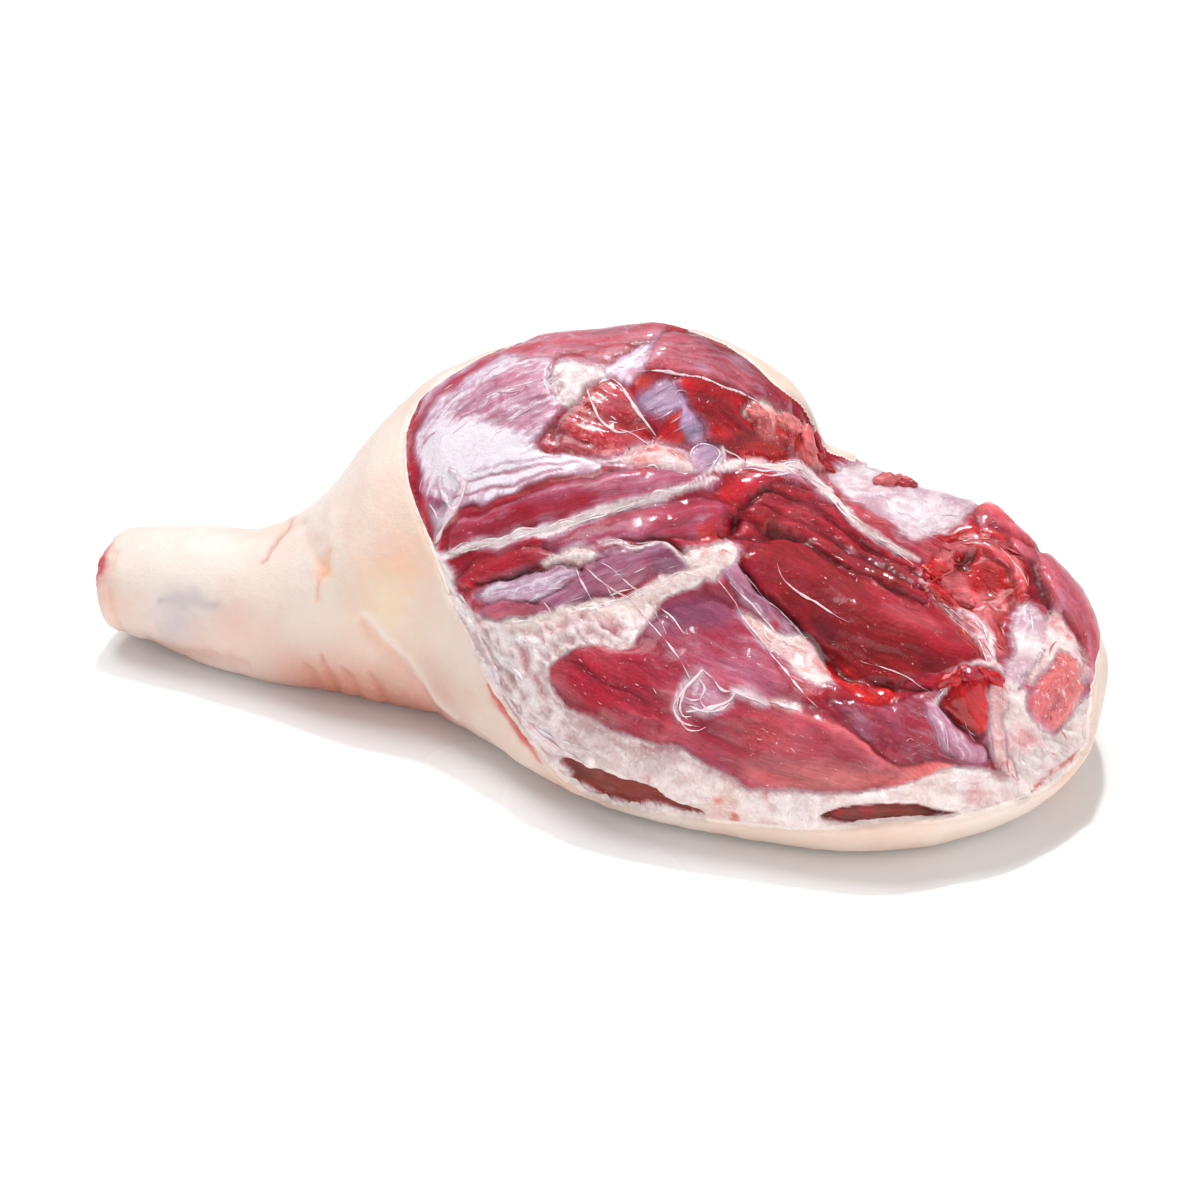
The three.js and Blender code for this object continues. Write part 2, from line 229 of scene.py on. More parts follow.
PATCHES = [
    Patch("thigh film", "lilac", second="mauve", film=0.95, dome=0.8, seam=0.3, marble=0.0, strands=0.3,
          grain=[(424, 530), (470, 420), (640, 350)], outline=[
            (404, 450), (416, 408), (444, 374), (488, 345), (550, 325), (558, 352), (552, 372), (562, 404),
            (546, 430), (536, 450), (604, 463), (550, 480), (498, 497), (455, 512), (436, 545), (420, 520)]),
    Patch("thigh streaks", "mauve", second="dusty", film=0.72, dome=0.3, seam=0.0, soft=9, marble=0.3,
          strands=0.7,
          grain=[(440, 440), (490, 402), (556, 370)], outline=[
            (452, 428), (466, 398), (496, 378), (536, 366), (552, 384), (548, 412), (538, 440), (512, 428),
            (480, 424)]),
    # White silverskin, with a painted highlight laid over it.
    Patch("thigh sheen", "silver", film=1.25, dome=0.9, seam=0.0, soft=12, marble=0.0, strands=0.15,
          grain=[(430, 480), (600, 455)], outline=[
            (424, 452), (446, 430), (478, 422), (510, 432), (536, 452), (598, 462), (540, 478), (470, 494),
            (436, 480)]),
    Patch("top strip", "pink", second="dusty", film=0.5, dome=0.8, seam=0.3, soft=7, strands=0.6,
          grain=[(470, 380), (540, 346), (600, 336), (670, 332)], outline=[
            (498, 356), (530, 338), (566, 330), (610, 322), (664, 322), (668, 338), (640, 342), (622, 352),
            (600, 360), (578, 356), (552, 358)]),
    Patch("white pad", "white", fat=1.0, dome=0.8, strands=0.1,
          grain=[(556, 400), (600, 370)], outline=[
            (552, 376), (562, 362), (580, 364), (596, 366), (610, 374), (600, 382), (586, 390), (578, 402),
            (562, 404), (554, 394)]),
    Patch("white sheet", "lilac", film=0.95, dome=0.6, seam=0.4, strands=0.2,
          grain=[(606, 376), (660, 342)], outline=[
            (604, 372), (616, 358), (640, 345), (664, 338), (656, 350), (646, 364), (640, 374), (628, 386),
            (616, 380)]),
    Patch("cut face", "dusty", second="crimson", dome=0.5, level=-2.5, seam=1.0, wet=0.6, marble=0.55,
          strands=0.7,
          grain=[(556, 400), (600, 420), (650, 440)], outline=[
            (538, 442), (552, 424), (564, 406), (578, 398), (586, 384), (604, 378), (620, 382), (636, 396),
            (650, 422), (658, 434), (644, 448), (620, 456), (596, 458), (564, 454), (544, 452)]),
    Patch("hump", "dusty", second="maroon", film=0.4, dome=1.8, strands=0.6,
          grain=[(640, 356), (710, 364), (770, 400)], outline=[
            (666, 330), (700, 332), (742, 340), (770, 352), (786, 380), (796, 420), (776, 414), (760, 405),
            (746, 393), (722, 383), (690, 376), (664, 371), (642, 369), (648, 356)]),
    Patch("hump dark", "red", second="crimson", dome=0.8, seam=0.3, soft=5,
          grain=[(700, 338), (740, 344), (790, 390)], outline=[
            (700, 336), (742, 340), (772, 354), (792, 388), (782, 384), (764, 364), (730, 350)]),
    Patch("dark hip", "brown red", second="crimson", dome=1.8, wet=0.4, strands=1.4,
          grain=[(676, 384), (720, 396), (760, 432)], outline=[
            (670, 381), (690, 375), (716, 382), (738, 390), (748, 406), (757, 424), (758, 441), (732, 442),
            (703, 441), (700, 420), (688, 408), (680, 394)]),
    Patch("hip bright", "crimson", second="brown red", dome=0.8, seam=0.0, soft=5, wet=0.4,
          grain=[(676, 384), (720, 394), (752, 416)], outline=[
            (672, 381), (700, 375), (728, 385), (746, 400), (753, 416), (732, 404), (702, 395), (682, 394)]),
    Patch("blue film", "blue grey", film=0.5, dome=0.8, seam=0.3, soft=7, marble=0.0, strands=1.0,
          grain=[(644, 406), (688, 384)], outline=[
            (638, 398), (658, 384), (672, 382), (682, 396), (690, 410), (702, 422), (702, 441), (684, 442),
            (672, 430), (664, 418), (648, 414)]),
    Patch("film orange", "crimson", second="orange", dome=1.2, seam=0.5, soft=2.5,
          grain=[(656, 440), (680, 412)], outline=[
            (652, 440), (662, 427), (667, 415), (680, 409), (679, 422), (684, 439), (670, 444)]),
    Patch("cord pad", "white", second="bright pink", fat=1.0, dome=1.2, level=0.6, strands=0.2,
          grain=[(560, 456), (690, 460)], outline=[
            (596, 459), (622, 456), (630, 446), (646, 441), (664, 445), (684, 452), (694, 464), (684, 470),
            (640, 464)]),
    Patch("grey pocket", "blue grey", second="lilac", film=0.6, dome=0.4, seam=0.4, soft=6,
          grain=[(690, 462), (720, 448)], outline=[
            (688, 456), (700, 445), (716, 446), (722, 456), (712, 470), (694, 472)]),
    Patch("ragged hip", "crimson", second="rose", dome=1.0, wet=0.6, marble=1.0, strands=0.8,
          grain=[(742, 418), (790, 450)], outline=[
            (740, 414), (756, 403), (772, 410), (790, 424), (808, 424), (818, 434), (818, 452), (832, 466),
            (822, 474), (806, 466), (790, 458), (764, 462), (738, 460), (726, 450), (742, 444), (758, 440)]),
    Patch("hip red", "blood", second="crimson", dome=0.6, level=-1.5, wet=0.6, marble=0.15, strands=0.9,
          grain=[(730, 452), (796, 454)], outline=[
            (728, 447), (748, 441), (770, 439), (788, 447), (796, 458), (776, 464), (748, 462), (734, 456)]),
    Patch("knob", "bright pink", second="cream", dome=2.6, level=1.0, wet=0.7, marble=0.5,
          grain=[(746, 412), (806, 426)], outline=[
            (743, 413), (751, 404), (766, 403), (777, 412), (800, 419), (809, 427), (790, 428), (775, 425),
            (771, 437), (760, 436), (755, 424)]),
    Patch("hip wall", "salmon", second="orange", dome=2.2, wet=0.6, strands=0.8,
          grain=[(806, 430), (810, 470)], outline=[
            (800, 433), (808, 430), (816, 440), (818, 461), (812, 470), (802, 462), (798, 446)]),
    Patch("knot muscle", "red", second="crimson", dome=1.8, wet=0.5,
          grain=[(716, 490), (750, 478), (790, 480)], outline=[
            (716, 486), (726, 474), (744, 468), (768, 470), (788, 478), (782, 486), (762, 495), (750, 504),
            (736, 510), (722, 502)]),
    Patch("upper strap", "mauve", second="maroon", film=0.4, dome=3.2,
          grain=[(448, 540), (560, 500), (690, 478)], outline=[
            (446, 546), (458, 522), (490, 508), (530, 496), (566, 484), (606, 470), (650, 468), (694, 474),
            (718, 480), (716, 490), (690, 490), (660, 496), (620, 507), (580, 520), (540, 532), (500, 540),
            (468, 550), (450, 554)]),
    Patch("strap belly", "maroon", second="deep red", dome=1.0, seam=0.0, soft=8,
          grain=[(448, 540), (560, 505), (690, 480)], outline=[
            (476, 528), (520, 508), (570, 496), (610, 498), (570, 518), (530, 531), (490, 538)]),
    Patch("middle strap", "mauve", second="maroon", film=0.25, dome=2.6,
          grain=[(540, 545), (620, 522), (720, 508)], outline=[
            (540, 544), (560, 532), (600, 520), (640, 508), (690, 496), (722, 502), (722, 530), (700, 538),
            (660, 538), (620, 536), (590, 545), (566, 552)]),
    Patch("red strap", "red", second="dusty", dome=3.2, wet=0.5,
          grain=[(458, 580), (510, 560), (560, 552)], outline=[
            (456, 580), (468, 566), (484, 556), (510, 548), (536, 546), (560, 553), (546, 563), (520, 571),
            (494, 580), (470, 588)]),
    Patch("strap fat", "cream", fat=1.0, dome=0.8, strands=0.1,
          grain=[(548, 562), (604, 552)], outline=[
            (546, 562), (558, 553), (574, 546), (592, 549), (604, 555), (586, 562), (574, 568), (560, 564)]),
    Patch("purple strap", "purple", second="mauve", film=0.4, dome=2.4,
          grain=[(550, 600), (620, 566), (700, 552)], outline=[
            (578, 570), (592, 560), (604, 546), (644, 542), (676, 546), (704, 558), (684, 567), (650, 579),
            (616, 592), (580, 604), (552, 612), (540, 602), (566, 588)]),
    Patch("silver bundle", "lilac", film=0.85, dome=1.2, seam=0.5, soft=6, marble=0.0, strands=0.9,
          grain=[(480, 598), (580, 566)], outline=[
            (478, 594), (496, 580), (526, 571), (560, 567), (578, 574), (562, 588), (540, 600), (512, 600),
            (490, 603)]),
    Patch("low strap", "dusty", second="mauve", film=0.35, dome=1.2,
          grain=[(480, 612), (550, 602)], outline=[
            (478, 608), (496, 601), (530, 602), (552, 604), (552, 613), (534, 619), (502, 620), (482, 614)]),
    Patch("fat field", "fat", second="white", fat=1.0, dome=0.6, seam=0.4, wet=0.25, strands=0.2,
          grain=[(470, 580), (500, 650), (560, 730), (680, 786), (840, 808), (1040, 780)], outline=[
            (452, 592), (466, 600), (484, 620), (536, 622), (560, 612), (604, 604), (640, 592), (690, 566),
            (708, 570), (700, 584), (664, 600), (648, 620), (628, 649), (598, 647), (566, 653), (552, 668),
            (552, 690), (572, 710), (612, 732), (660, 744), (704, 764), (752, 786), (806, 793), (870, 793),
            (906, 784), (940, 770), (970, 766), (1000, 776), (1030, 790), (960, 830), (840, 836),
            (720, 826), (620, 806), (560, 780), (510, 730), (478, 672), (454, 620)]),
    Patch("inner round", "maroon", second="dusty", film=0.2, dome=2.6, seam=0.3, soft=6,
          grain=[(550, 640), (640, 690), (760, 740), (900, 790)], outline=[
            (552, 666), (566, 655), (600, 649), (630, 650), (648, 628), (668, 610), (712, 600), (738, 614),
            (770, 656), (800, 694), (834, 716), (874, 744), (900, 762), (896, 778), (866, 790), (800, 791),
            (752, 784), (704, 762), (660, 742), (614, 730), (574, 708), (554, 688)]),
    Patch("round left", "red", second="maroon", dome=0.2, seam=0.0, soft=26, wet=0.5, strands=1.0,
          grain=[(550, 640), (600, 676), (680, 720)], outline=[
            (558, 656), (586, 648), (628, 664), (664, 700), (664, 734), (600, 716), (564, 690)]),
    Patch("round top", "purple", film=0.0, dome=0.3, seam=0.0, soft=16, wet=0.25, strands=0.2,
          grain=[(640, 640), (740, 610)], outline=[
            (640, 626), (664, 600), (712, 594), (742, 620), (736, 634), (700, 636), (660, 640)]),
    Patch("round pink", "maroon", second="mauve", film=0.35, dome=0.2, seam=0.0, soft=20, wet=0.25,
          strands=0.2,
          grain=[(640, 650), (760, 700), (860, 770)], outline=[
            (676, 644), (740, 632), (780, 676), (800, 704), (760, 704), (716, 678)]),
    Patch("swirl film", "mauve", film=0.6, dome=0.2, seam=0.0, soft=7, marble=0.6, strands=0.4,
          grain=[(690, 670), (700, 700), (690, 726)], outline=[
            (690, 672), (706, 668), (720, 690), (730, 698), (724, 712), (700, 718), (682, 712), (680, 692)]),
    Patch("round low", "dusty", second="pink", dome=0.2, seam=0.0, soft=26, wet=0.6, marble=0.3,
          grain=[(740, 712), (800, 760)], outline=[
            (740, 716), (772, 708), (806, 722), (812, 748), (796, 770), (756, 766), (736, 744)]),
    Patch("round foot", "salmon", second="bright pink", dome=0.3, seam=0.0, soft=14, strands=0.3,
          grain=[(740, 780), (900, 772)], outline=[
            (752, 772), (800, 768), (858, 772), (886, 776), (932, 758), (968, 764), (910, 784), (868, 790),
            (800, 791)]),
    Patch("purple strip", "mauve", second="purple", film=0.65, dome=1.2,
          grain=[(722, 566), (810, 650)], outline=[
            (718, 562), (738, 564), (766, 596), (794, 622), (806, 640), (780, 634), (752, 612), (732, 588)]),
    Patch("cream strip", "cream", second="bright pink", fat=1.0, dome=0.9, strands=0.2,
          grain=[(740, 612), (840, 690)], outline=[
            (738, 612), (758, 622), (784, 636), (804, 636), (820, 652), (838, 674), (824, 684), (804, 676),
            (782, 658), (756, 636)]),
    Patch("white join", "cream", fat=1.0, dome=1.0, strands=0.3,
          grain=[(690, 556), (730, 570)], outline=[
            (684, 552), (700, 546), (722, 544), (738, 548), (738, 562), (726, 572), (716, 582), (704, 574)]),
    Patch("strands", "red", second="brown red", dome=2.4, wet=0.6, marble=0.25, strands=1.8,
          grain=[(744, 512), (800, 522), (860, 556), (940, 604)], outline=[
            (742, 518), (764, 490), (790, 482), (816, 491), (846, 520), (900, 554), (938, 578), (932, 610),
            (900, 603), (856, 582), (824, 566), (796, 546), (764, 530)]),
    Patch("far strands", "red", second="pink", dome=1.4, strands=1.4,
          grain=[(820, 478), (870, 522), (950, 556)], outline=[
            (818, 474), (832, 474), (850, 500), (884, 516), (916, 534), (944, 548), (936, 566), (902, 556),
            (868, 534), (840, 504)]),
    Patch("far sheet", "silver", second="lilac", film=0.6, fat=0.7, dome=0.8, strands=0.4,
          grain=[(834, 486), (980, 508)], outline=[
            (832, 480), (844, 466), (900, 466), (950, 474), (984, 498), (968, 514), (942, 530), (914, 540),
            (892, 528), (866, 506), (848, 494)]),
    Patch("dark belly", "brown red", second="deep red", dome=2.6, wet=0.45, marble=0.05, strands=0.35,
          grain=[(744, 556), (800, 576), (870, 620), (970, 664)], outline=[
            (742, 562), (756, 544), (782, 536), (806, 546), (836, 566), (872, 588), (910, 608), (944, 622),
            (966, 638), (974, 656), (956, 670), (922, 674), (890, 682), (856, 672), (826, 654), (798, 628),
            (768, 598)]),
    # A painted highlight along the belly, then painted shade on its lower side.
    Patch("belly highlight", "red", second="pink", dome=0.3, seam=0.0, soft=12, strands=0.5,
          grain=[(800, 576), (940, 640)], outline=[
            (868, 590), (900, 600), (938, 618), (950, 632), (930, 636), (896, 622), (872, 606)]),
    Patch("belly shade", "brown red", second="dark", dome=0.3, seam=0.0, soft=12, strands=0.5,
          grain=[(770, 596), (860, 650), (950, 664)], outline=[
            (770, 590), (800, 600), (840, 630), (880, 650), (930, 655), (950, 664), (900, 676), (850, 664),
            (806, 630)]),
    Patch("blood bed", "blood", dome=0.4, level=-1.0, wet=0.8, marble=0.2, strands=0.9,
          grain=[(820, 650), (890, 700)], outline=[
            (820, 650), (842, 662), (872, 680), (892, 686), (886, 706), (862, 704), (844, 688), (832, 674)]),
    Patch("tail purple", "maroon", second="mauve", film=0.25, dome=1.4, marble=0.4,
          grain=[(840, 700), (900, 730), (990, 764)], outline=[
            (826, 700), (852, 702), (884, 706), (910, 692), (936, 690), (950, 714), (974, 734), (990, 752),
            (982, 768), (952, 762), (926, 760), (894, 764), (866, 738)]),
    Patch("tail silver", "mauve", film=0.75, dome=0.8, soft=7, marble=0.0, strands=0.6,
          grain=[(926, 706), (956, 752)], outline=[
            (922, 704), (936, 704), (950, 717), (972, 733), (990, 752), (978, 762), (956, 756), (938, 742)]),
    Patch("socket", "blood", second="rose", dome=1.2, wet=0.6, marble=0.4, strands=0.9,
          grain=[(936, 552), (1000, 570), (1020, 630)], outline=[
            (930, 560), (944, 542), (966, 532), (1002, 534), (1024, 562), (1032, 592), (1014, 606),
            (1000, 622), (1012, 650), (990, 662), (964, 640), (946, 616), (924, 592)]),
    Patch("butt folds", "dusty", second="pink", film=0.2, dome=2.4, strands=0.9,
          grain=[(986, 510), (1040, 570), (1090, 660)], outline=[
            (976, 512), (990, 496), (1020, 510), (1052, 540), (1084, 584), (1112, 630), (1116, 668),
            (1100, 690), (1084, 676), (1072, 642), (1058, 614), (1046, 602), (1032, 568), (1012, 546),
            (988, 536)]),
    Patch("butt muscle", "dusty", second="pink", film=0.3, dome=2.6, strands=0.3,
          grain=[(1040, 556), (1084, 620), (1096, 690)], outline=[
            (1036, 553), (1050, 546), (1076, 572), (1100, 610), (1114, 640), (1112, 676), (1098, 694),
            (1084, 676), (1072, 640), (1058, 610), (1046, 590)]),
    Patch("tendon", "white", second="lilac", fat=1.0, dome=1.6, marble=0.0, strands=0.3,
          grain=[(1034, 606), (1024, 650), (1004, 690)], outline=[
            (1012, 616), (1028, 602), (1040, 616), (1050, 630), (1042, 652), (1030, 676), (1016, 692),
            (1002, 690), (1004, 672), (1018, 648)]),
    Patch("rim fat", "cream", second="bright pink", fat=1.0, dome=0.9, strands=0.3,
          grain=[(1056, 614), (1074, 660)], outline=[
            (1048, 616), (1058, 611), (1070, 634), (1084, 656), (1086, 684), (1078, 670), (1066, 650),
            (1050, 660), (1036, 684), (1034, 674), (1046, 648)]),
    Patch("tail lobe", "rose", second="bright pink", dome=1.5, marble=0.9, strands=0.2,
          grain=[(1060, 650), (1050, 728)], outline=[
            (1026, 706), (1040, 682), (1054, 654), (1066, 648), (1080, 668), (1084, 698), (1072, 720),
            (1052, 732), (1034, 726)]),
    Patch("lump", "blood", second="crimson", dome=2.2, wet=0.8, marble=0.3, strands=0.5,
          grain=[(950, 680), (980, 730)], outline=[
            (940, 700), (946, 682), (962, 669), (984, 666), (998, 674), (992, 692), (992, 716), (986, 736),
            (968, 730), (950, 714)]),
    Patch("drape", "cream", second="bright pink", fat=1.0, dome=0.9, level=0.8, strands=0.4,
          grain=[(1000, 676), (1012, 784)], outline=[
            (996, 676), (1008, 688), (1010, 704), (1002, 720), (1006, 744), (1016, 784), (1006, 778),
            (992, 748), (992, 716)]),
    Patch("butt fat", "cream", second="skin white", fat=1.0, dome=0.6, seam=0.5, strands=0.15,
          grain=[(1010, 700), (1090, 740)], outline=[
            (1004, 692), (1028, 690), (1026, 706), (1036, 726), (1056, 733), (1074, 720), (1086, 700),
            (1102, 690), (1106, 730), (1090, 760), (1040, 792), (1000, 800), (984, 778), (1016, 788),
            (1008, 744), (1004, 720), (1012, 704)]),
]


@dataclass
class Line:
    """A line on the meat face: a cord of fat or fascia that stands up, or a crease that goes in."""

    name: str
    route: list
    width: float
    rise: float
    tint: str = "white"
    fat: float = 0.0
    wet: float = 0.3
    taper: bool = True
    stain: float = 0.8


# Creases tinted dark or deep red are painted shade in their grooves.
# The fat's hollows, hole and grooves in grey, mauve, purple or dusty are partly meat seen through thin fat,
# partly painted shade.
LINES = [
    Line("collar strip", [(494, 358), (470, 371), (452, 382), (438, 393), (424, 409), (413, 438),
         (413, 475), (422, 507), (436, 539)], 5, -0.5, "red", taper=False, stain=0.7),
    Line("strap fascia", [(446, 556), (482, 544), (522, 535), (562, 526), (602, 514), (642, 502),
         (682, 489), (712, 482)], 7, 0.8, "white", fat=1.0),
    Line("thigh hem", [(456, 510), (500, 498), (552, 482), (604, 466)], 3, -0.9, "deep red"),
    Line("thigh rim", [(413, 418), (409, 440), (410, 458), (411, 478), (417, 500), (426, 520), (434, 536)],
         4.5, 0.2, "crimson", taper=False),
    Line("thigh cord", [(450, 470), (460, 477), (463, 488), (459, 500), (450, 515), (437, 540)], 5, 0.9,
         "silver"),
    Line("thigh cord left", [(437, 477), (441, 489), (446, 500), (450, 512)], 4, 0.6, "silver", stain=0.7),
    Line("thigh cord low", [(430, 505), (437, 515), (442, 528)], 3.5, 0.4, "silver", stain=0.6),
    Line("swirl band left", [(694, 680), (681, 694), (675, 708), (680, 720)], 4.5, 0.4, "silver", stain=0.6),
    Line("swirl band low", [(690, 712), (706, 711), (722, 706), (734, 694)], 4, 0.4, "silver", stain=0.6),
    Line("swirl band top", [(703, 672), (700, 684), (697, 696)], 3.5, 0.3, "silver", stain=0.55),
    Line("swirl band tail", [(734, 692), (752, 698), (768, 705)], 5, 0.4, "silver", stain=0.65),
    Line("swirl band far", [(772, 702), (786, 705), (800, 711)], 5, 0.4, "cream", stain=0.7),
    Line("thigh rib one", [(452, 500), (500, 487), (560, 472)], 2, -0.4, "mauve"),
    Line("thigh rib two", [(462, 484), (510, 472), (580, 464)], 2, -0.35, "mauve"),
    Line("thigh rib three", [(470, 472), (520, 462), (560, 459)], 1.6, -0.3, "lilac"),
    Line("far cord wide", [(716, 470), (740, 464), (770, 467), (794, 468), (816, 484), (834, 504)], 8, 1.4,
         "cream", fat=1.0),
    Line("far cord", [(816, 484), (840, 508), (866, 532), (892, 548), (918, 562)], 4, 1.0, "cream", fat=1.0),
    Line("pocket cord", [(722, 448), (718, 462), (706, 474), (692, 482)], 3, 0.8, "white", fat=1.0),
    Line("low fascia", [(484, 624), (530, 622), (556, 612), (604, 604), (640, 592), (684, 572), (712, 574)],
         6, 0.9, "cream", fat=1.0),
    Line("strap slit", [(478, 584), (510, 576), (546, 566), (566, 564), (580, 571)], 3.5, -2.6, "dark"),
    Line("strap gap", [(604, 542), (630, 536), (664, 541), (690, 552)], 2.5, -0.9, "dark"),
    Line("strap thread", [(600, 540), (616, 539), (630, 545), (660, 546), (684, 556)], 2.5, 0.6, "cream",
         fat=0.9),
    Line("knot crease", [(762, 496), (748, 506), (738, 514), (736, 528), (722, 536)], 4, -2.6, "dark",
         wet=0.1),
    Line("belly crease", [(722, 538), (744, 536), (778, 534), (806, 544), (850, 570)], 4, -2.0, "dark",
         wet=0.15),
    Line("strand crease far", [(766, 494), (800, 504), (836, 528), (884, 560), (930, 582)], 3, -1.6, "dark",
         wet=0.15),
    Line("strand crease mid", [(758, 508), (800, 526), (850, 552), (924, 594)], 3, -1.6, "dark", wet=0.15),
    Line("strand crease near", [(770, 528), (812, 548), (864, 578), (926, 606)], 4, -2.0, "dark", wet=0.15),
    Line("belly foot", [(742, 566), (772, 602), (802, 634), (832, 660), (862, 678), (930, 690)], 4.5, -2.2,
         "dark", wet=0.15),
    Line("round crease", [(830, 716), (866, 742), (896, 762)], 3, -1.0, "deep red"),
    Line("round ridge", [(796, 712), (830, 726), (862, 744), (884, 764)], 4, 0.8, "rose"),
    Line("socket strand one", [(926, 566), (950, 584), (980, 598), (1004, 612)], 3.5, 1.2, "rose", wet=0.9),
    Line("socket strand two", [(922, 584), (944, 604), (968, 628), (984, 650), (990, 664)], 4, 1.3,
         "bright pink", fat=0.5),
    Line("socket strand three", [(938, 578), (966, 596), (986, 616), (998, 640)], 3, 1.0, "rose", wet=0.9),
    Line("socket rim", [(940, 560), (956, 550), (976, 548), (1000, 560), (1016, 580), (1028, 600)], 5, 1.6,
         "rose", wet=0.9),
    Line("socket lip", [(944, 540), (960, 533), (980, 532), (1002, 539)], 5, 1.4, "blood", wet=0.9),
    Line("socket ridge", [(986, 548), (1006, 556), (1020, 572), (1029, 596)], 4, 1.4, "rose", wet=0.7),
    Line("socket groove", [(984, 555), (1002, 565), (1013, 580), (1020, 600)], 3, -1.8, "deep red"),
    Line("socket groove left", [(930, 574), (950, 592), (972, 612), (988, 636)], 3, -1.6, "crimson"),
    Line("socket groove low", [(936, 600), (956, 618), (974, 640), (984, 660)], 3, -1.6, "deep red"),
    Line("socket cord", [(962, 612), (978, 624), (987, 640), (992, 666)], 4, 1.4, "cream", fat=0.8),
    Line("fold ridge", [(980, 507), (1008, 520), (1032, 542)], 5, 1.4, "rose"),
    Line("fold crease four", [(996, 512), (1022, 528), (1042, 552)], 3, -1.6, "deep red"),
    Line("fold crease five", [(1010, 546), (1028, 566), (1038, 598)], 3, -1.6, "deep red"),
    Line("fold crease one", [(1030, 560), (1044, 586), (1052, 612)], 4, -2.2, "dark"),
    Line("fold crease two", [(988, 524), (1010, 536), (1034, 548)], 3, -1.6, "deep red"),
    Line("fold crease three", [(1064, 612), (1078, 640), (1088, 668)], 3, -1.2, "deep red"),
    Line("lump shadow", [(936, 700), (952, 718), (974, 738), (996, 762)], 4, -2.0, "dark"),
    Line("lump hem", [(930, 706), (942, 690), (958, 672), (980, 664), (998, 668)], 3, 0.8, "cream", fat=0.8),
    Line("butt fold", [(1032, 790), (1052, 774), (1082, 752)], 2, -1.2, "orange"),
    Line("round hem", [(700, 764), (740, 782), (790, 792), (860, 793)], 3, -0.3, "mauve", stain=0.5),
    Line("fat vein one", [(580, 722), (620, 744), (670, 756), (720, 774)], 4, -0.6, "fat grey"),
    Line("fat vein two", [(640, 744), (690, 752), (740, 778)], 3, -0.5, "mauve"),
    Line("fat vein three", [(500, 640), (520, 680), (548, 716)], 5, -0.8, "fat grey"),
    Line("fat hollow", [(548, 630), (574, 622), (602, 622), (626, 628)], 8, -0.8, "mauve", stain=0.45),
    Line("fat hollow low", [(560, 642), (590, 636), (612, 640)], 5, -0.6, "fat grey", stain=0.7),
    Line("fat hole", [(602, 625), (613, 631), (622, 638)], 4, -1.6, "purple", stain=0.9),
    Line("fat groove one", [(486, 630), (500, 656), (514, 686)], 4, -0.8, "fat grey", stain=0.7),
    Line("fat groove two", [(516, 640), (530, 668), (546, 700)], 4, -0.8, "dusty", stain=0.4),
    Line("fat fold one", [(490, 622), (518, 638), (548, 646)], 4, 1.0, "white", fat=1.0),
    Line("fat fold two", [(494, 650), (518, 672), (538, 706)], 4, 1.0, "white", fat=1.0),
    Line("fat fold three", [(520, 714), (556, 738), (604, 757)], 4, 0.9, "white", fat=1.0),
    Line("collar fascia", [(437, 548), (445, 566), (453, 586), (462, 604), (474, 626)], 7, 0.8, "white",
         fat=1.0),
]


@dataclass
class Spot:
    """A round stain on the meat face."""

    name: str
    at: tuple
    radius: float
    tint: str
    amount: float = 0.8
    rise: float = 0.0
    wet: float = 0.0
    edge: float = 3.0


# Spots tinted dark, most of them holes that sink in, are painted shade.
SPOTS = [
    Spot("cord dot", (646, 449), 6, "blood", 0.9),
    Spot("cord stain", (640, 463), 10, "orange", 0.6),
    Spot("cut stain", (642, 380), 9, "orange", 0.5),
    Spot("cut dark", (560, 432), 9, "dark", 0.5, rise=-1.5),
    Spot("cut red", (574, 426), 8, "blood", 0.6),
    Spot("thigh purple", (436, 506), 9, "purple", 0.7),
    Spot("thigh red", (450, 536), 10, "deep red", 0.7),
    Spot("knot red", (712, 530), 14, "crimson", 0.7, wet=0.6),
    Spot("knot orange", (704, 540), 10, "orange", 0.5),
    Spot("knot hole", (735, 524), 8, "dark", 0.9, rise=-3.0),
    Spot("hip dark", (748, 434), 9, "dark", 0.6),
    Spot("hip hole", (790, 444), 7, "dark", 0.6, rise=-1.5),
    Spot("hip pale", (786, 420), 6, "cream", 0.6),
    # A lighter pink spot on the strands: a painted highlight.
    Spot("strand highlight", (800, 520), 16, "pink", 0.5),
    Spot("socket hole", (966, 563), 9, "dark", 0.85, rise=-4.0),
    Spot("socket blood", (981, 583), 13, "blood", 0.95, rise=-1.0, wet=0.9),
    Spot("socket low", (950, 606), 12, "blood", 0.5, wet=0.6),
    Spot("tail blood", (868, 694), 12, "blood", 0.7, wet=0.7),
    Spot("lump top", (962, 682), 12, "crimson", 0.7),
    Spot("lump red", (985, 676), 8, "crimson", 0.8),
    Spot("fat stain one", (1026, 738), 14, "rose", 0.6),
    Spot("fat stain two", (974, 796), 12, "rose", 0.5),
    Spot("fat stain three", (996, 770), 9, "brown red", 0.6, rise=-1.5),
    Spot("fat speck one", (735, 816), 5, "blood", 0.9),
    Spot("fat speck two", (718, 800), 5, "blood", 0.9),
    Spot("fat speck three", (768, 795), 4.5, "blood", 0.95),
    Spot("fat speck four", (648, 779), 4, "blood", 0.9),
    Spot("fat veil three", (590, 738), 22, "fat grey", 0.6),
    Spot("fat veil four", (650, 764), 20, "fat grey", 0.5),
    Spot("fat wash", (724, 806), 20, "peach", 0.4),
    Spot("join red", (722, 552), 4, "blood", 0.6),
    Spot("strip red", (774, 628), 4, "blood", 0.8),
    Spot("far lump", (888, 470), 10, "crimson", 0.7),
    Spot("far edge", (790, 390), 10, "orange", 0.6),
    Spot("slit red", (838, 815), 7, "blood", 0.7),
    Spot("slit red far", (866, 812), 6, "crimson", 0.6),
]
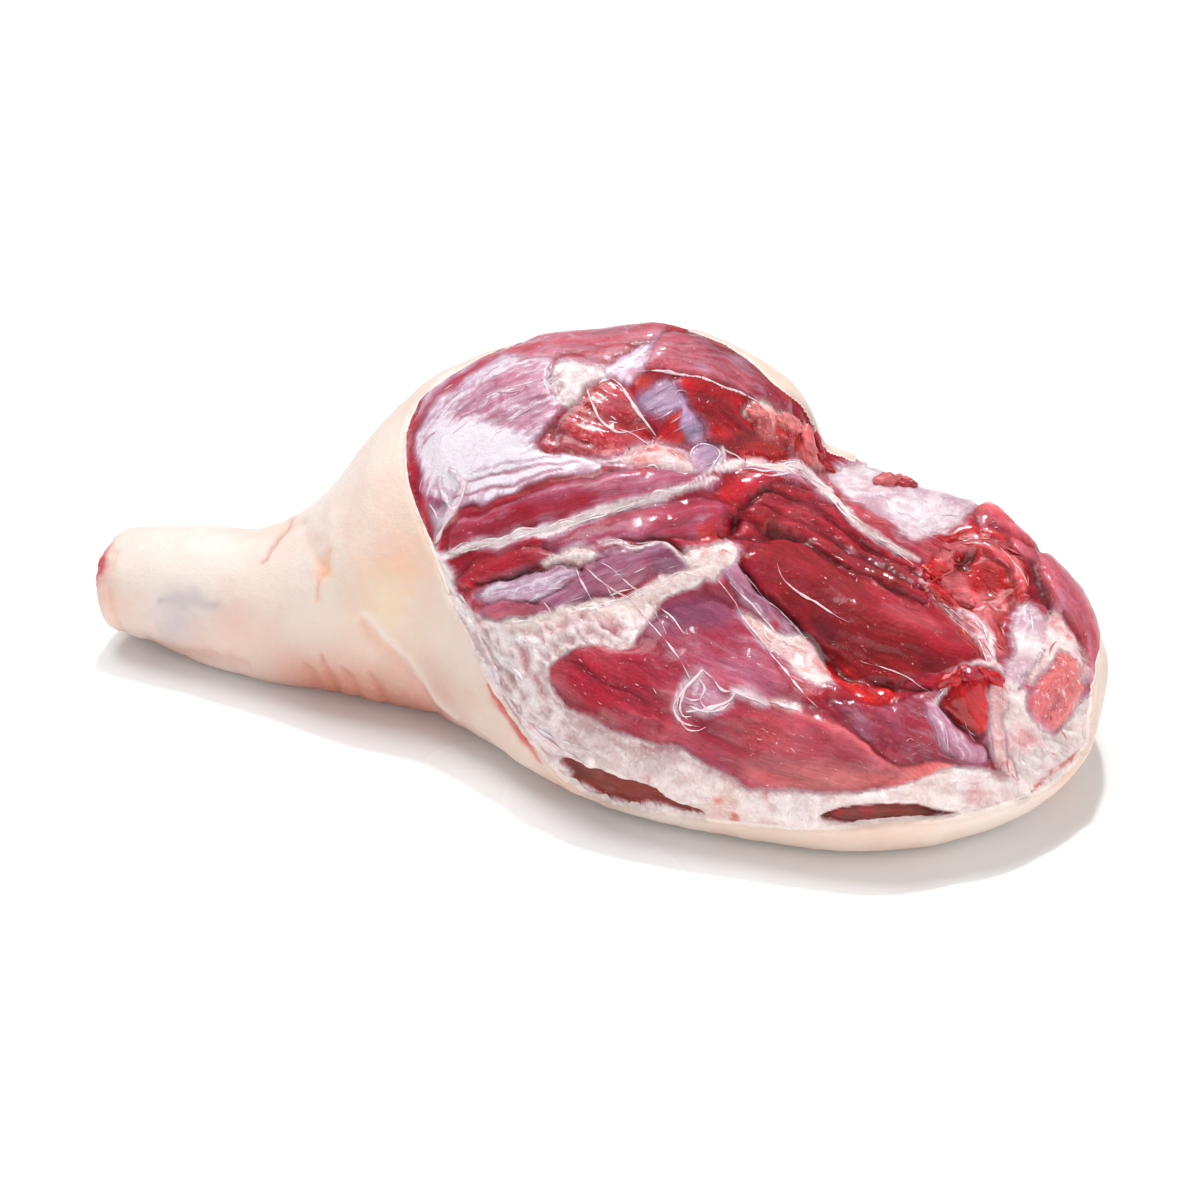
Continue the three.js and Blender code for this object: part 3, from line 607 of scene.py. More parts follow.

# Slits between the fat and the edge of the skin, where meat shows, dark partly as painted shade in the gap.
SLITS = [
    Patch("left slit", "slit", dome=0.0, level=-5.0, seam=0.2, soft=3.5, crisp=3.0,
          grain=[(560, 768), (700, 815)], outline=[
            (558, 760), (584, 766), (612, 776), (642, 787), (668, 799), (704, 815), (680, 815), (650, 809),
            (616, 804), (590, 794), (570, 781)]),
    Patch("right slit", "slit", dome=0.0, level=-4.5, seam=0.2, soft=3.0, crisp=3.0,
          grain=[(820, 818), (950, 814)], outline=[
            (818, 818), (842, 808), (880, 805), (922, 804), (956, 815), (926, 817), (900, 821), (866, 826),
            (838, 825)]),
]

# Where the skin ends: pixels down the collar and along the low edge, then, where it is hidden, stations
# along the leg and degrees round it.
SKIN_EDGE_SEEN = [
    (466, 367), (448, 378), (433, 388), (418, 402), (408, 425), (404, 448), (406, 478), (415, 508),
    (429, 541), (441, 570), (454, 608), (468, 636), (486, 674), (508, 710), (536, 746), (566, 780),
    (600, 800), (650, 811), (710, 819), (770, 826), (840, 828), (900, 822), (950, 818), (1000, 806),
    (1040, 790), (1072, 764), (1086, 740),
]
SKIN_EDGE_HIDDEN = [
    (262, 150), (258, 90), (244, 40), (222, 18), (190, 14), (150, 20), (118, 34), (96, 51), (84, 56),
    (64, 55), (40, 51), (-30, 49), (-50, 55), (-62, 59.5), (-71, 62.5),
]

# Stains and creases of the skin.
SKIN_SPOTS = [
    Spot("collar peach", (404, 566), 30, "peach", 0.6, edge=1.6),
    Spot("collar yellow", (388, 606), 30, "skin yellow", 0.52, edge=1.6),
    # Painted shadow: grey low on the shank.
    Spot("shank shadow", (180, 622), 26, "skin grey", 0.6, edge=1.8),
    Spot("shank pink", (236, 622), 26, "skin pink", 0.6, edge=1.6),
    # Painted highlight: the top of the shank whiter.
    Spot("shank top highlight", (210, 550), 44, "skin white", 0.7, edge=1.6),
    Spot("shank fold", (326, 570), 9, "peach", 0.9, edge=2.4),
    Spot("shank end", (112, 600), 16, "skin pink", 0.6, edge=1.6),
    Spot("rim orange", (500, 700), 9, "orange", 0.3, edge=1.6),
    Spot("rim orange low", (530, 734), 9, "orange", 0.3, edge=1.6),
    Spot("lip pink", (560, 780), 22, "skin pink", 0.5, edge=1.6),
    Spot("butt orange", (1062, 772), 14, "peach", 0.5, edge=1.6),
]
# Creases, wrinkles, folds, the hem and the hollow tinted skin shade, skin grey or skin pink are painted shade
# where they go in.
# Ridges tinted skin white are painted highlight.
SKIN_CREASES = [
    Line("knee ridge", [(334, 500), (334, 522), (332, 544)], 5, 0.9, "skin white", stain=0.5),
    Line("knee fold", [(331, 546), (326, 562), (321, 580), (319, 598)], 5, -1.8, "peach", stain=0.7),
    Line("shank scratch", [(292, 520), (278, 540), (262, 562)], 3, -0.9, "skin shade", stain=0.6),
    Line("shank crease one", [(232, 532), (262, 530), (300, 526)], 7, -1.0, "skin pink", stain=0.2),
    Line("shank crease two", [(300, 524), (314, 546), (320, 562)], 7, -1.2, "skin pink", stain=0.25),
    Line("wrinkle one", [(306, 660), (316, 682), (326, 702)], 4, -1.5, "skin shade", stain=0.5),
    Line("wrinkle two", [(320, 656), (332, 680), (342, 704)], 4, -1.6, "skin shade", stain=0.5),
    Line("wrinkle three", [(344, 668), (356, 688), (364, 706)], 4, -1.4, "skin shade", stain=0.5),
    Line("wrinkle four", [(372, 676), (382, 692), (390, 708)], 4, -1.2, "skin shade", stain=0.4),
    Line("rim red", [(490, 686), (508, 714), (526, 738), (546, 758)], 3, -0.4, "blood", stain=0.75),
    Line("collar fold", [(366, 612), (388, 636), (411, 660), (430, 682), (448, 703), (462, 718)], 6, 1.2,
         "skin white", stain=0.6),
    Line("collar fold low", [(362, 622), (382, 645), (404, 669), (424, 692), (442, 713)], 9, -1.6,
         "skin pink", stain=0.5),
    Line("shank hem", [(146, 640), (176, 648), (214, 652), (250, 662)], 6, -1.4, "skin shade", stain=0.4),
    Line("shank hollow", [(160, 600), (186, 598), (216, 604)], 9, -1.2, "skin grey", stain=0.5),
    Line("end fold", [(116, 556), (108, 580), (112, 606), (126, 630)], 6, -1.6, "skin pink", stain=0.4),
]

# Single threads of white tissue: name, width and route in pixels.
THREADS = [
    ("web one", 1.7, [(576, 568), (584, 586), (592, 600)]),
    ("web two", 1.7, [(590, 572), (608, 586), (628, 598), (650, 604)]),
    ("web three", 1.8, [(628, 598), (642, 614), (656, 630), (668, 645), (680, 660), (690, 680)]),
    ("web four", 1.9, [(650, 602), (658, 616), (666, 634)]),
    ("web five", 1.5, [(600, 562), (616, 572), (632, 586), (648, 598)]),
    ("web eight", 1.2, [(584, 566), (600, 580), (612, 596), (622, 604)]),
    ("web eleven", 1.4, [(656, 604), (672, 618), (684, 634)]),
    ("web seven", 1.4, [(540, 596), (548, 606), (552, 616)]),
    ("swirl left", 3.2, [(703, 670), (692, 681), (680, 694), (674, 709), (682, 722), (700, 727)]),
    ("swirl left two", 2.6, [(699, 676), (688, 686), (681, 700), (680, 712), (688, 720)]),
    ("swirl left three", 3.0, [(678, 698), (677, 710), (684, 718), (692, 716)]),
    ("swirl foot", 2.4, [(681, 722), (688, 730), (699, 731), (706, 727)]),
    ("swirl right", 2.6, [(703, 670), (714, 680), (722, 692), (733, 691)]),
    ("swirl low", 3.2, [(686, 712), (700, 710), (714, 708), (728, 702), (736, 692)]),
    ("swirl low two", 2.6, [(690, 706), (704, 712), (720, 710), (730, 703)]),
    ("swirl inner", 2.4, [(697, 677), (704, 688), (700, 700), (708, 710)]),
    ("swirl middle", 2.2, [(684, 697), (694, 700), (704, 697)]),
    ("swirl tail", 2.8, [(735, 692), (752, 699), (768, 706)]),
    ("swirl tail far", 2.6, [(770, 702), (784, 705), (802, 713)]),
    ("thigh vein", 5.0, [(449, 470), (460, 476), (464, 487), (460, 499), (451, 514), (443, 529), (436, 543)]),
    ("thigh vein left", 3.5, [(437, 477), (441, 489), (446, 500), (451, 511)]),
    ("thigh vein low", 2.5, [(430, 505), (437, 515), (442, 528)]),
    ("hump border", 3.4, [(634, 372), (662, 371), (692, 377), (720, 385), (742, 394), (758, 402)]),
    ("cut vein", 3.4, [(604, 376), (618, 382), (630, 400), (644, 420), (656, 436)]),
    ("cut vein low", 2.6, [(586, 386), (592, 404), (604, 424), (622, 432), (648, 428)]),
    ("collar rope", 5.0, [(470, 614), (480, 637), (490, 658), (504, 692), (524, 720), (554, 744),
     (586, 764)]),
    ("pocket ring", 2.8, [(690, 458), (693, 448), (704, 444), (715, 447), (719, 455), (712, 464),
     (702, 466)]),
    ("belly line", 1.5, [(777, 563), (782, 578), (793, 588), (812, 600), (835, 615), (850, 623)]),
    ("strip line far", 2.1, [(745, 575), (766, 600), (790, 622), (806, 640)]),
    ("strip line near", 2.2, [(718, 580), (734, 600), (742, 618), (760, 640), (776, 660), (788, 674),
     (804, 694), (818, 708)]),
    ("strip line mid", 1.9, [(730, 582), (752, 606), (772, 630), (790, 646)]),
    ("film vein", 1.7, [(484, 396), (512, 386), (548, 378)]),
    ("cord tail", 2.1, [(866, 532), (884, 545), (902, 556), (914, 566)]),
    ("lump thread", 1.0, [(862, 662), (884, 668), (908, 678), (930, 692)]),
    ("cut thread two", 1.5, [(620, 430), (636, 436), (650, 446)]),
    ("hip thread", 2.1, [(722, 448), (734, 456), (746, 464)]),
    ("fold thread", 1.7, [(1000, 548), (1016, 564), (1028, 586)]),
]

# Torn scraps of meat and fat: name, pixel, turn in degrees, half length, half width and tint.
SCRAPS = [
    ("hip wall", (808, 446), 84, 9, 4, "salmon"),
    ("hip wall far", (817, 446), 80, 8, 4, "red"),
    ("hip tail", (826, 467), 20, 5, 2.5, "crimson"),
    ("hip knob", (758, 412), 20, 6, 4, "bright pink"),
    ("hip knob low", (764, 424), 70, 5, 3.5, "rose"),
    ("hip cord", (792, 424), 15, 9, 3, "bright pink"),
    ("far scrap one", (886, 468), 10, 7, 6, "rose"),
    ("far scrap two", (897, 472), -20, 8, 5, "salmon"),
    ("far scrap three", (908, 477), 15, 6, 4, "red"),
    ("socket scrap", (950, 541), -10, 8, 3, "crimson"),
    ("socket rag one", (930, 572), 30, 6, 3, "blood"),
    ("socket rag two", (940, 596), 40, 7, 3, "crimson"),
    ("socket rag three", (962, 600), 35, 7, 2.5, "rose"),
    ("lump knob one", (954, 680), -30, 7, 4, "crimson"),
    ("lump knob two", (970, 675), 0, 6, 4, "red"),
    ("lump knob three", (988, 676), 20, 6, 4, "crimson"),
]


@dataclass
class Scatter:
    """Many small strokes along the grain of some patches: flecks of fat, wisps of fascia, torn strands, and
    pale flecks on muscles that are partly painted glints.
    """

    patches: list
    count: int
    length: tuple
    width: tuple
    tints: list
    spread: float = 20.0
    lift: float = 0.25


# The pale flecks on the muscles are partly specks of fascia, partly painted glints.
SCATTERS = [
    Scatter(["round left", "round low"], 16, (2, 7), (0.4, 0.8), ["thread", "bright pink", "rose"], 16),
    Scatter(["inner round", "upper strap", "middle strap", "red strap", "hump"], 10, (1.5, 4), (0.5, 0.9),
            ["thread", "bright pink", "rose"], 40),
    Scatter(["dark belly", "strands"], 16, (1.5, 5), (0.5, 0.9), ["thread", "bright pink", "rose"], 40),
    Scatter(["far strands", "knot muscle", "dark hip", "blood bed", "hip red"], 8, (1.5, 4), (0.5, 0.9),
            ["thread", "bright pink"], 40),
    Scatter(["butt folds", "tail purple", "top strip"], 14, (1.5, 5), (0.5, 1.0), ["thread", "bright pink"],
            40),
    Scatter(["tail lobe", "lump"], 14, (2, 5), (0.6, 1.2), ["bright pink", "rose", "crimson"], 80),
    Scatter(["cut face"], 18, (4, 12), (0.8, 1.8), ["white", "thread", "rose", "crimson", "dusty"], 50, 0.4),
    Scatter(["socket"], 34, (8, 22), (1.0, 2.2), ["rose", "bright pink", "blood", "crimson"], 22, 0.4),
    Scatter(["ragged hip"], 18, (5, 12), (1.0, 2.2), ["rose", "crimson", "blood"], 50, 0.3),
    Scatter(["purple strap", "silver bundle", "purple strip"], 9, (7, 24), (0.5, 1.2), ["silver", "lilac",
            "mauve"], 10),
    Scatter(["thigh film", "thigh streaks"], 16, (6, 24), (0.5, 1.3), ["silver", "lilac"], 14),
    Scatter(["blue film"], 8, (8, 22), (0.6, 1.4), ["silver", "lilac"], 8),
    Scatter(["white pad", "white sheet", "cord pad", "white join", "cream strip"], 5, (5, 18), (0.8, 2.2),
            ["white", "cream", "thread"], 30, 0.4),
    Scatter(["far sheet", "tendon", "tail silver"], 6, (8, 30), (0.6, 1.4), ["silver", "white", "lilac"], 12),
    Scatter(["rim fat", "drape", "butt fat"], 5, (5, 18), (0.8, 2.0), ["white", "cream", "rose"], 30, 0.4),
]


def srgb(code):
    """A hex colour as linear red, green and blue."""
    values = np.array([int(code[i:i + 2], 16) for i in (1, 3, 5)]) / 255
    return np.where(values <= 0.04045, values / 12.92, ((values + 0.055) / 1.055) ** 2.4)


TINTS = {name: srgb(code) for name, code in PALETTE.items()}


def smoothstep(low, high, value):
    """0 below low, 1 above high, and an even rise between."""
    share = np.clip((value - low) / (high - low), 0, 1)
    return share * share * (3 - 2 * share)


def unit(vectors):
    """Vectors scaled to length 1."""
    return vectors / np.maximum(np.linalg.norm(vectors, axis=-1, keepdims=True), 1e-9)


def lay(layer, share, tint, index=slice(None)):
    """Moves a layer's colours toward a tint, by a share at each point."""
    layer[index] += share[:, None] * (tint - layer[index])


NOISE_BITS = 16
NOISE_TABLE = np.random.default_rng(7).uniform(-1, 1, 1 << NOISE_BITS)
NOISE_STEPS = (73856093, 19349663, 83492791, 40503)


def noise(points, size, seed):
    """Smooth noise from -1 to 1 with features of about the given size."""
    scaled = points / size
    cell = np.floor(scaled).astype(np.int64)
    part = scaled - cell
    part = part * part * (3 - 2 * part)
    total = np.zeros(len(points))
    for corner in range(8):
        steps = np.array([corner & 1, corner >> 1 & 1, corner >> 2 & 1])
        key = ((cell + steps) * np.array(NOISE_STEPS[:3])).sum(axis=1) + seed * NOISE_STEPS[3]
        weight = np.where(steps, part, 1 - part).prod(axis=1)
        total += weight * NOISE_TABLE[(key ^ (key >> NOISE_BITS)) & ((1 << NOISE_BITS) - 1)]
    return total


@dataclass
class Field:
    """Noise with features of a size in millimetres, and finer and weaker copies of itself laid over."""

    size: float
    seed: int
    layers: int = 3

    def at(self, points):
        """The noise at points."""
        return sum(noise(points, self.size / 2 ** i, self.seed + i) / 2 ** i for i in range(self.layers))


# The fields of noise, named for what each varies.
FIELDS = {
    "wander across": Field(14, 11, 4), "wander down": Field(14, 23, 4),
    "seam": Field(18, 41, 1), "line width": Field(7, 37, 1), "spot edge": Field(5, 31),
    "fold": Field(6.0, 77, 2), "strand": Field(5.5, 71, 1), "bundle": Field(9, 75),
    "lump": Field(14, 79), "marble": Field(6, 81),
    "mottle": Field(36, 51), "low shade": Field(40, 53),
    "skin fine": Field(9, 61), "skin broad": Field(34, 67),
    "cut rim": Field(8, 83), "cut shade": Field(7, 85), "cut relief": Field(7, 87),
    "stroke width": Field(6, 91), "rib": Field(20, 97),
    "sway across": Field(16, 93), "sway down": Field(16, 95),
    "scrap": Field(9, 97, 4), "scrap tone": Field(5, 99, 1),
}


def blur(values, width):
    """A grid of values softened by a bell curve: rows end, columns go round."""
    reach = int(3 * width)
    bell = np.exp(-0.5 * (np.arange(-reach, reach + 1) / width) ** 2)
    bell /= bell.sum()
    for axis, mode in ((0, "edge"), (1, "wrap")):
        pad = [(0, 0), (0, 0)]
        pad[axis] = (reach, reach)
        padded = np.pad(values, pad, mode=mode)
        count = values.shape[axis]
        values = sum(w * np.take(padded, range(k, k + count), axis=axis) for k, w in enumerate(bell))
    return values


# The photograph's camera as three directions and a focal length in pixels.
BACK = np.array([
    math.sin(AZIMUTH) * math.cos(ELEVATION),
    -math.cos(AZIMUTH) * math.cos(ELEVATION),
    math.sin(ELEVATION),
])
RIGHT = np.array([math.cos(AZIMUTH), math.sin(AZIMUTH), 0.0])
UP = np.cross(BACK, RIGHT)
EYE = LOOK_AT + DISTANCE * BACK
FOCAL = DISTANCE * PIXELS_PER_MM
HALF_PHOTO = PHOTO_SIZE / 2


def to_pixels(points):
    """Where points of the leg are in the photograph."""
    offset = points - EYE
    depth = -offset @ BACK
    return HALF_PHOTO + FOCAL * np.stack([offset @ RIGHT, -offset @ UP], axis=1) / depth[:, None]


def pixel_ray(pixel):
    """The direction from the camera through a pixel."""
    right, down = (np.array(pixel) - HALF_PHOTO) / FOCAL
    return unit(right * RIGHT - down * UP - BACK)


def smooth_line(points, closed=False, pieces=6):
    """A Catmull-Rom curve through points, as more points."""
    points = np.array(points, dtype=float)
    count = len(points)
    t = np.linspace(0, 1, pieces, endpoint=False)[:, None]
    curve = []
    for i in range(count if closed else count - 1):
        around = [i - 1, i, i + 1, i + 2]
        a, b, c, d = (points[k % count] if closed else points[min(max(k, 0), count - 1)] for k in around)
        square = (2 * a - 5 * b + 4 * c - d) * t ** 2
        cube = (3 * b - a - 3 * c + d) * t ** 3
        curve.append(b + 0.5 * ((c - a) * t + square + cube))
    if not closed:
        curve.append(points[-1:])
    return np.concatenate(curve)


def near_line(places, line):
    """Each place's distance to a line, signed by side, and how far along it is; then the line's length."""
    best = np.full(len(places), np.inf)
    across = np.zeros(len(places))
    along = np.zeros(len(places))
    start = 0.0
    for a, b in zip(line[:-1], line[1:]):
        step = b - a
        length = np.hypot(*step)
        if length == 0:
            continue
        share = np.clip((places - a) @ step / length ** 2, 0, 1)
        off = places - a - share[:, None] * step
        distance = np.hypot(off[:, 0], off[:, 1])
        closer = distance < best
        side = np.where(step[0] * off[:, 1] - step[1] * off[:, 0] >= 0, 1, -1)
        best = np.where(closer, distance, best)
        across = np.where(closer, side * distance, across)
        along = np.where(closer, start + share * length, along)
        start += length
    return across, along, start


def inside(places, outline):
    """Which places lie inside a closed outline."""
    within = np.zeros(len(places), dtype=bool)
    for a, b in zip(outline, np.roll(outline, -1, axis=0)):
        if a[1] == b[1]:
            continue
        crosses = (a[1] > places[:, 1]) != (b[1] > places[:, 1])
        edge = a[0] + (places[:, 1] - a[1]) / (b[1] - a[1]) * (b[0] - a[0])
        within ^= crosses & (places[:, 0] < edge)
    return within


class Surface:
    """A mesh that rays can be dropped on, in millimetres."""

    def __init__(self, points, faces):
        self.tree = BVHTree.FromPolygons([Vector(p) for p in points], faces)

    def seen_at(self, pixel):
        """The point and normal that the camera sees at a pixel, or the nearest ones to its ray."""
        direction = Vector(pixel_ray(pixel))
        hit, normal = self.tree.ray_cast(Vector(EYE), direction)[:2]
        if hit is None:
            hit, normal = self.tree.find_nearest(Vector(EYE) + direction * DISTANCE)[:2]
        return np.array(hit), np.array(normal)

    def out_from(self, start, heading):
        """Where a ray from inside leaves the mesh."""
        return np.array(self.tree.ray_cast(Vector(start), Vector(heading))[0])


AXIS_CURVE = smooth_line(AXIS)
SHANK_X, BUTT_X = AXIS[0, 0], AXIS[-1, 0]


def axis_at(x):
    """The inner line's Y and Z at stations along the leg."""
    return [np.interp(x, AXIS_CURVE[:, 0], AXIS_CURVE[:, k]) for k in (1, 2)]


def axis_point(x):
    """The inner line's point at a station along the leg."""
    return np.array([np.clip(x, SHANK_X, BUTT_X), *axis_at(x)])


def unrolled(points):
    """Points of the leg's surface as millimetres along it and degrees round it."""
    x = points[:, 0]
    y, z = axis_at(x)
    dy, dz = points[:, 1] - y, points[:, 2] - z
    beyond = x - BUTT_X
    along = np.where(beyond > 0, BUTT_X + BUTT_REACH * np.arctan2(beyond, np.hypot(dy, dz)), x)
    degrees = np.degrees(np.arctan2(dz, dy))
    return np.stack([along, np.where(degrees < SEAM_ANGLE, degrees + 360, degrees)], axis=1)


class Leg:
    """The solid's surface as a grid of points, rows along the leg and columns round it."""

    def __init__(self, node):
        mesh = node.data
        points = np.array([v.co for v in mesh.vertices]) / MM
        self.solid = Surface(points, [tuple(p.vertices) for p in mesh.polygons])
        self.columns = np.concatenate([
            np.linspace(FINE_FROM, FINE_TO, FINE_COLUMNS, endpoint=False),
            np.linspace(FINE_TO, 360 + FINE_FROM, UNDER_COLUMNS, endpoint=False),
        ])
        self.plan_rows()
        self.sample()

    def plan_rows(self):
        """Each row's place on the inner line, the tilt of its rays, and its step from column to column."""
        quarter = math.pi / 2
        tilts = [-quarter * (1 - i / SHANK_CAP_ROWS) for i in range(1, SHANK_CAP_ROWS)]
        shank_cap = [(SHANK_X, tilt, SHANK_STEP) for tilt in tilts]
        shank = [(x, 0.0, SHANK_STEP) for x in np.linspace(SHANK_X, MEAT_START, SHANK_ROWS, endpoint=False)]
        meat = [(x, 0.0, 1) for x in np.linspace(MEAT_START, BUTT_X, MEAT_ROWS, endpoint=False)]
        butt_cap = []
        for share in (i / BUTT_CAP_ROWS for i in range(BUTT_CAP_ROWS)):
            step = next(step for end, step in BUTT_STEPS if share < end)
            butt_cap.append((BUTT_X, quarter * share, step))
        self.stations = shank_cap + shank + meat + butt_cap

    def sample(self):
        """Sends rays from the inner line to the solid, then softens the solid's facets."""
        turn = np.radians(self.columns)
        ring = np.stack([np.zeros_like(turn), np.cos(turn), np.sin(turn)], axis=1)
        starts = np.array([axis_point(x) for x, _, _ in self.stations])
        tilts = [tilt for _, tilt, _ in self.stations]
        headings = np.array([ring * math.cos(t) + np.array([math.sin(t), 0, 0]) for t in tilts])
        reach = np.zeros(headings.shape[:2])
        for row, start in enumerate(starts):
            origin = Vector(start)
            reach[row] = [self.solid.tree.ray_cast(origin, Vector(h))[3] for h in headings[row]]
        reach = blur(reach, FACET_BLUR)
        self.points = starts[:, None] + headings * reach[:, :, None]
        ends = ((SHANK_X, -1), (BUTT_X, 1))
        self.ends = [self.solid.out_from(axis_point(x), (way, 0, 0)) for x, way in ends]

    def all_points(self):
        """The grid's points row by row, then the two ends."""
        return np.concatenate([self.points.reshape(-1, 3), self.ends])

    def normals(self):
        """Outward directions at all points."""
        ahead = np.gradient(self.points, axis=0)
        around = np.roll(self.points, -1, axis=1) - np.roll(self.points, 1, axis=1)
        grid = unit(np.cross(around, ahead)).reshape(-1, 3)
        return np.concatenate([grid, [[-1, 0, 0], [1, 0, 0]]])

    def softened(self, values, width):
        """Values at all points, softened over the grid."""
        grid = blur(values[:-2].reshape(self.points.shape[:2]), width)
        return np.concatenate([grid.ravel(), values[-2:]])

    def faces(self):
        """The mesh's faces: bands between rows, stitched where the columns change, and a fan at each end."""
        count = len(self.columns)
        steps = [step for _, _, step in self.stations]
        rings = [list(range(row * count, (row + 1) * count, step)) for row, step in enumerate(steps)]
        shank_end = len(rings) * count
        return tube(rings) + fan(rings[0][::-1], shank_end) + fan(rings[-1], shank_end + 1)


def band(ring, after):
    """Faces between two rings, one of which may have a whole number of times more points."""
    if len(ring) == len(after):
        return list(zip(ring, ring[1:] + ring[:1], after[1:] + after[:1], after))
    coarse, fine = sorted((ring, after), key=len)
    times = len(fine) // len(coarse)
    faces = []
    for i, corner in enumerate(coarse):
        following = coarse[(i + 1) % len(coarse)]
        steps = [fine[(i * times + k) % len(fine)] for k in range(times + 1)]
        part = [(corner, b, a) for a, b in zip(steps[:-1], steps[1:])] + [(corner, following, steps[-1])]
        faces += part if coarse is ring else [f[::-1] for f in part]
    return faces


def tube(rings):
    """Faces between all rings of a row."""
    return [face for ring, after in zip(rings[:-1], rings[1:]) for face in band(ring, after)]


def fan(ring, tip):
    """Triangles from a ring to a point."""
    return [(a, b, tip) for a, b in zip(ring, ring[1:] + ring[:1])]


def rings_from(start, count, sides):
    """The point numbers of rings that follow each other."""
    return [list(range(start + r * sides, start + (r + 1) * sides)) for r in range(count)]


class Paint:
    """Colour, tissue and relief at each point of the leg."""

    def __init__(self, points):
        self.points = points
        wander = np.stack([FIELDS[name].at(points) for name in ("wander across", "wander down")], axis=1)
        self.places = to_pixels(points) + WANDER * wander
        count = len(points)
        self.tint = np.tile(TINTS["red"], (count, 1))
        self.cover = np.tile(TINTS["white"], (count, 1))
        self.hide = np.tile(TINTS["skin"], (count, 1))
        self.rise = np.zeros(count)
        self.fat = np.zeros(count)
        self.film = np.zeros(count)
        self.wet = np.full(count, PLAIN_MEAT["wet"])
        self.marble = np.full(count, PLAIN_MEAT["marble"])
        self.strands = np.full(count, PLAIN_MEAT["strands"])
        self.along = points[:, 0].copy()
        self.across = points[:, 1].copy()

    def reach(self, outline, margin):
        """Which points can be touched by something with this outline."""
        low, high = outline.min(axis=0) - margin, outline.max(axis=0) + margin
        return np.nonzero(((self.places > low) & (self.places < high)).all(axis=1))[0]

    def patch(self, patch, seed):
        """Lays a patch over what is there."""
        outline = smooth_line(patch.outline, closed=True, pieces=OUTLINE_PIECES)
        index = self.reach(outline, FILM_HALO + patch.soft)
        places = self.places[index]
        distance = np.abs(near_line(places, np.concatenate([outline, outline[:1]]))[0])
        depth = np.where(inside(places, outline), distance, -distance)
        share = smoothstep(-patch.soft, patch.soft, depth)
        self.patch_tint(patch, seed, index, share)
        self.patch_tissue(patch, index, depth, share)
        self.patch_relief(patch, index, depth, share)
        if patch.seam:
            self.patch_grain(patch, seed, index[share > 0.5])

    def patch_tint(self, patch, seed, index, share):
        """A patch's colour, in clouds if it has two."""
        tint = TINTS[patch.tint]
        if patch.second:
            clouds = smoothstep(*CLOUD_RANGE, Field(CLOUD_SIZE, seed).at(self.points[index]))
            tint = tint + clouds[:, None] * (TINTS[patch.second] - tint)
        lay(self.cover if patch.fat else self.tint, share, tint, index)

    def patch_tissue(self, patch, index, depth, share):
        """What a patch is made of: fat with a halo of film, or meat that covers the fat below."""
        field = np.clip(0.5 + patch.crisp * depth / (2 * EDGE), 0, 1)
        if patch.fat:
            self.fat[index] = np.maximum(self.fat[index], field)
            self.film[index] = np.maximum(self.film[index], HALO_FILM * smoothstep(-FILM_HALO, 0, depth))
        elif patch.seam:
            self.fat[index] = np.minimum(self.fat[index], 1 - field)
        for key in ("wet", "marble", "strands") if patch.fat else ("film", "wet", "marble", "strands"):
            values = getattr(self, key)
            values[index] += share * (getattr(patch, key) - values[index])

    def patch_relief(self, patch, index, depth, share):
        """A patch's dome, and the seam round it: a groove, with its tint darkened along it as painted shade.
        """
        body = patch.level + patch.dome * (1 - np.exp(-np.maximum(depth, 0) / DOME_REACH))
        self.rise[index] += share * (body - FILLED * self.rise[index])
        broken = SEAM["mean"] + SEAM["swing"] * FIELDS["seam"].at(self.points[index])
        broken = np.clip(broken, 0, SEAM["most"])
        seam = broken * np.exp(-(depth / SEAM["width"]) ** 2)
        self.rise[index] -= patch.seam * seam
        # Painted shade: the tint darkened along the seam's groove.
        self.tint[index] *= 1 - SEAM["dark"] * min(patch.seam, 1) * seam[:, None]

    def patch_grain(self, patch, seed, core):
        """Places along and across a patch's grain, apart from those of other patches."""
        across, along, _ = near_line(self.places[core], smooth_line(patch.grain))
        self.across[core] = across / PIXELS_PER_MM + GRAIN_APART * seed
        self.along[core] = along / PIXELS_PER_MM

    def line(self, line, layers):
        """Draws a cord that stands up or a crease that goes in."""
        route = smooth_line(line.route)
        index = self.reach(route, LINE["reach"] * line.width + EDGE)
        across, along, length = near_line(self.places[index], route)
        width = np.full(len(index), line.width)
        if line.taper:
            swell = np.sin(math.pi * np.clip(along / length, *LINE["tips"])) ** 0.5
            width = width * (LINE["end"] + (1 - LINE["end"]) * swell)
        width = width * (1 + LINE["uneven"] * FIELDS["line width"].at(self.points[index]))
        share = np.exp(-(across / width) ** 2)
        self.rise[index] += line.rise * share
        if line.fat:
            field = np.clip(0.5 + (CORD["half"] * line.fat * width - np.abs(across)) / (2 * EDGE), 0, 1)
            self.fat[index] = np.maximum(self.fat[index], field)
            lay(self.cover, smoothstep(*CORD["cover"], np.abs(across) / width), TINTS[line.tint], index)
            halo = np.exp(-(across / (CORD["halo"] * width)) ** 2)
            self.film[index] = np.maximum(self.film[index], CORD["film"] * halo)
        else:
            # The line's tint: the tissue's own colour on cords and strips, painted shade on the darker
            # creases.
            for layer in layers:
                lay(layer, line.stain * share, TINTS[line.tint], index)
            self.film[index] *= 1 - share
            self.wet[index] += share * (line.wet - self.wet[index])

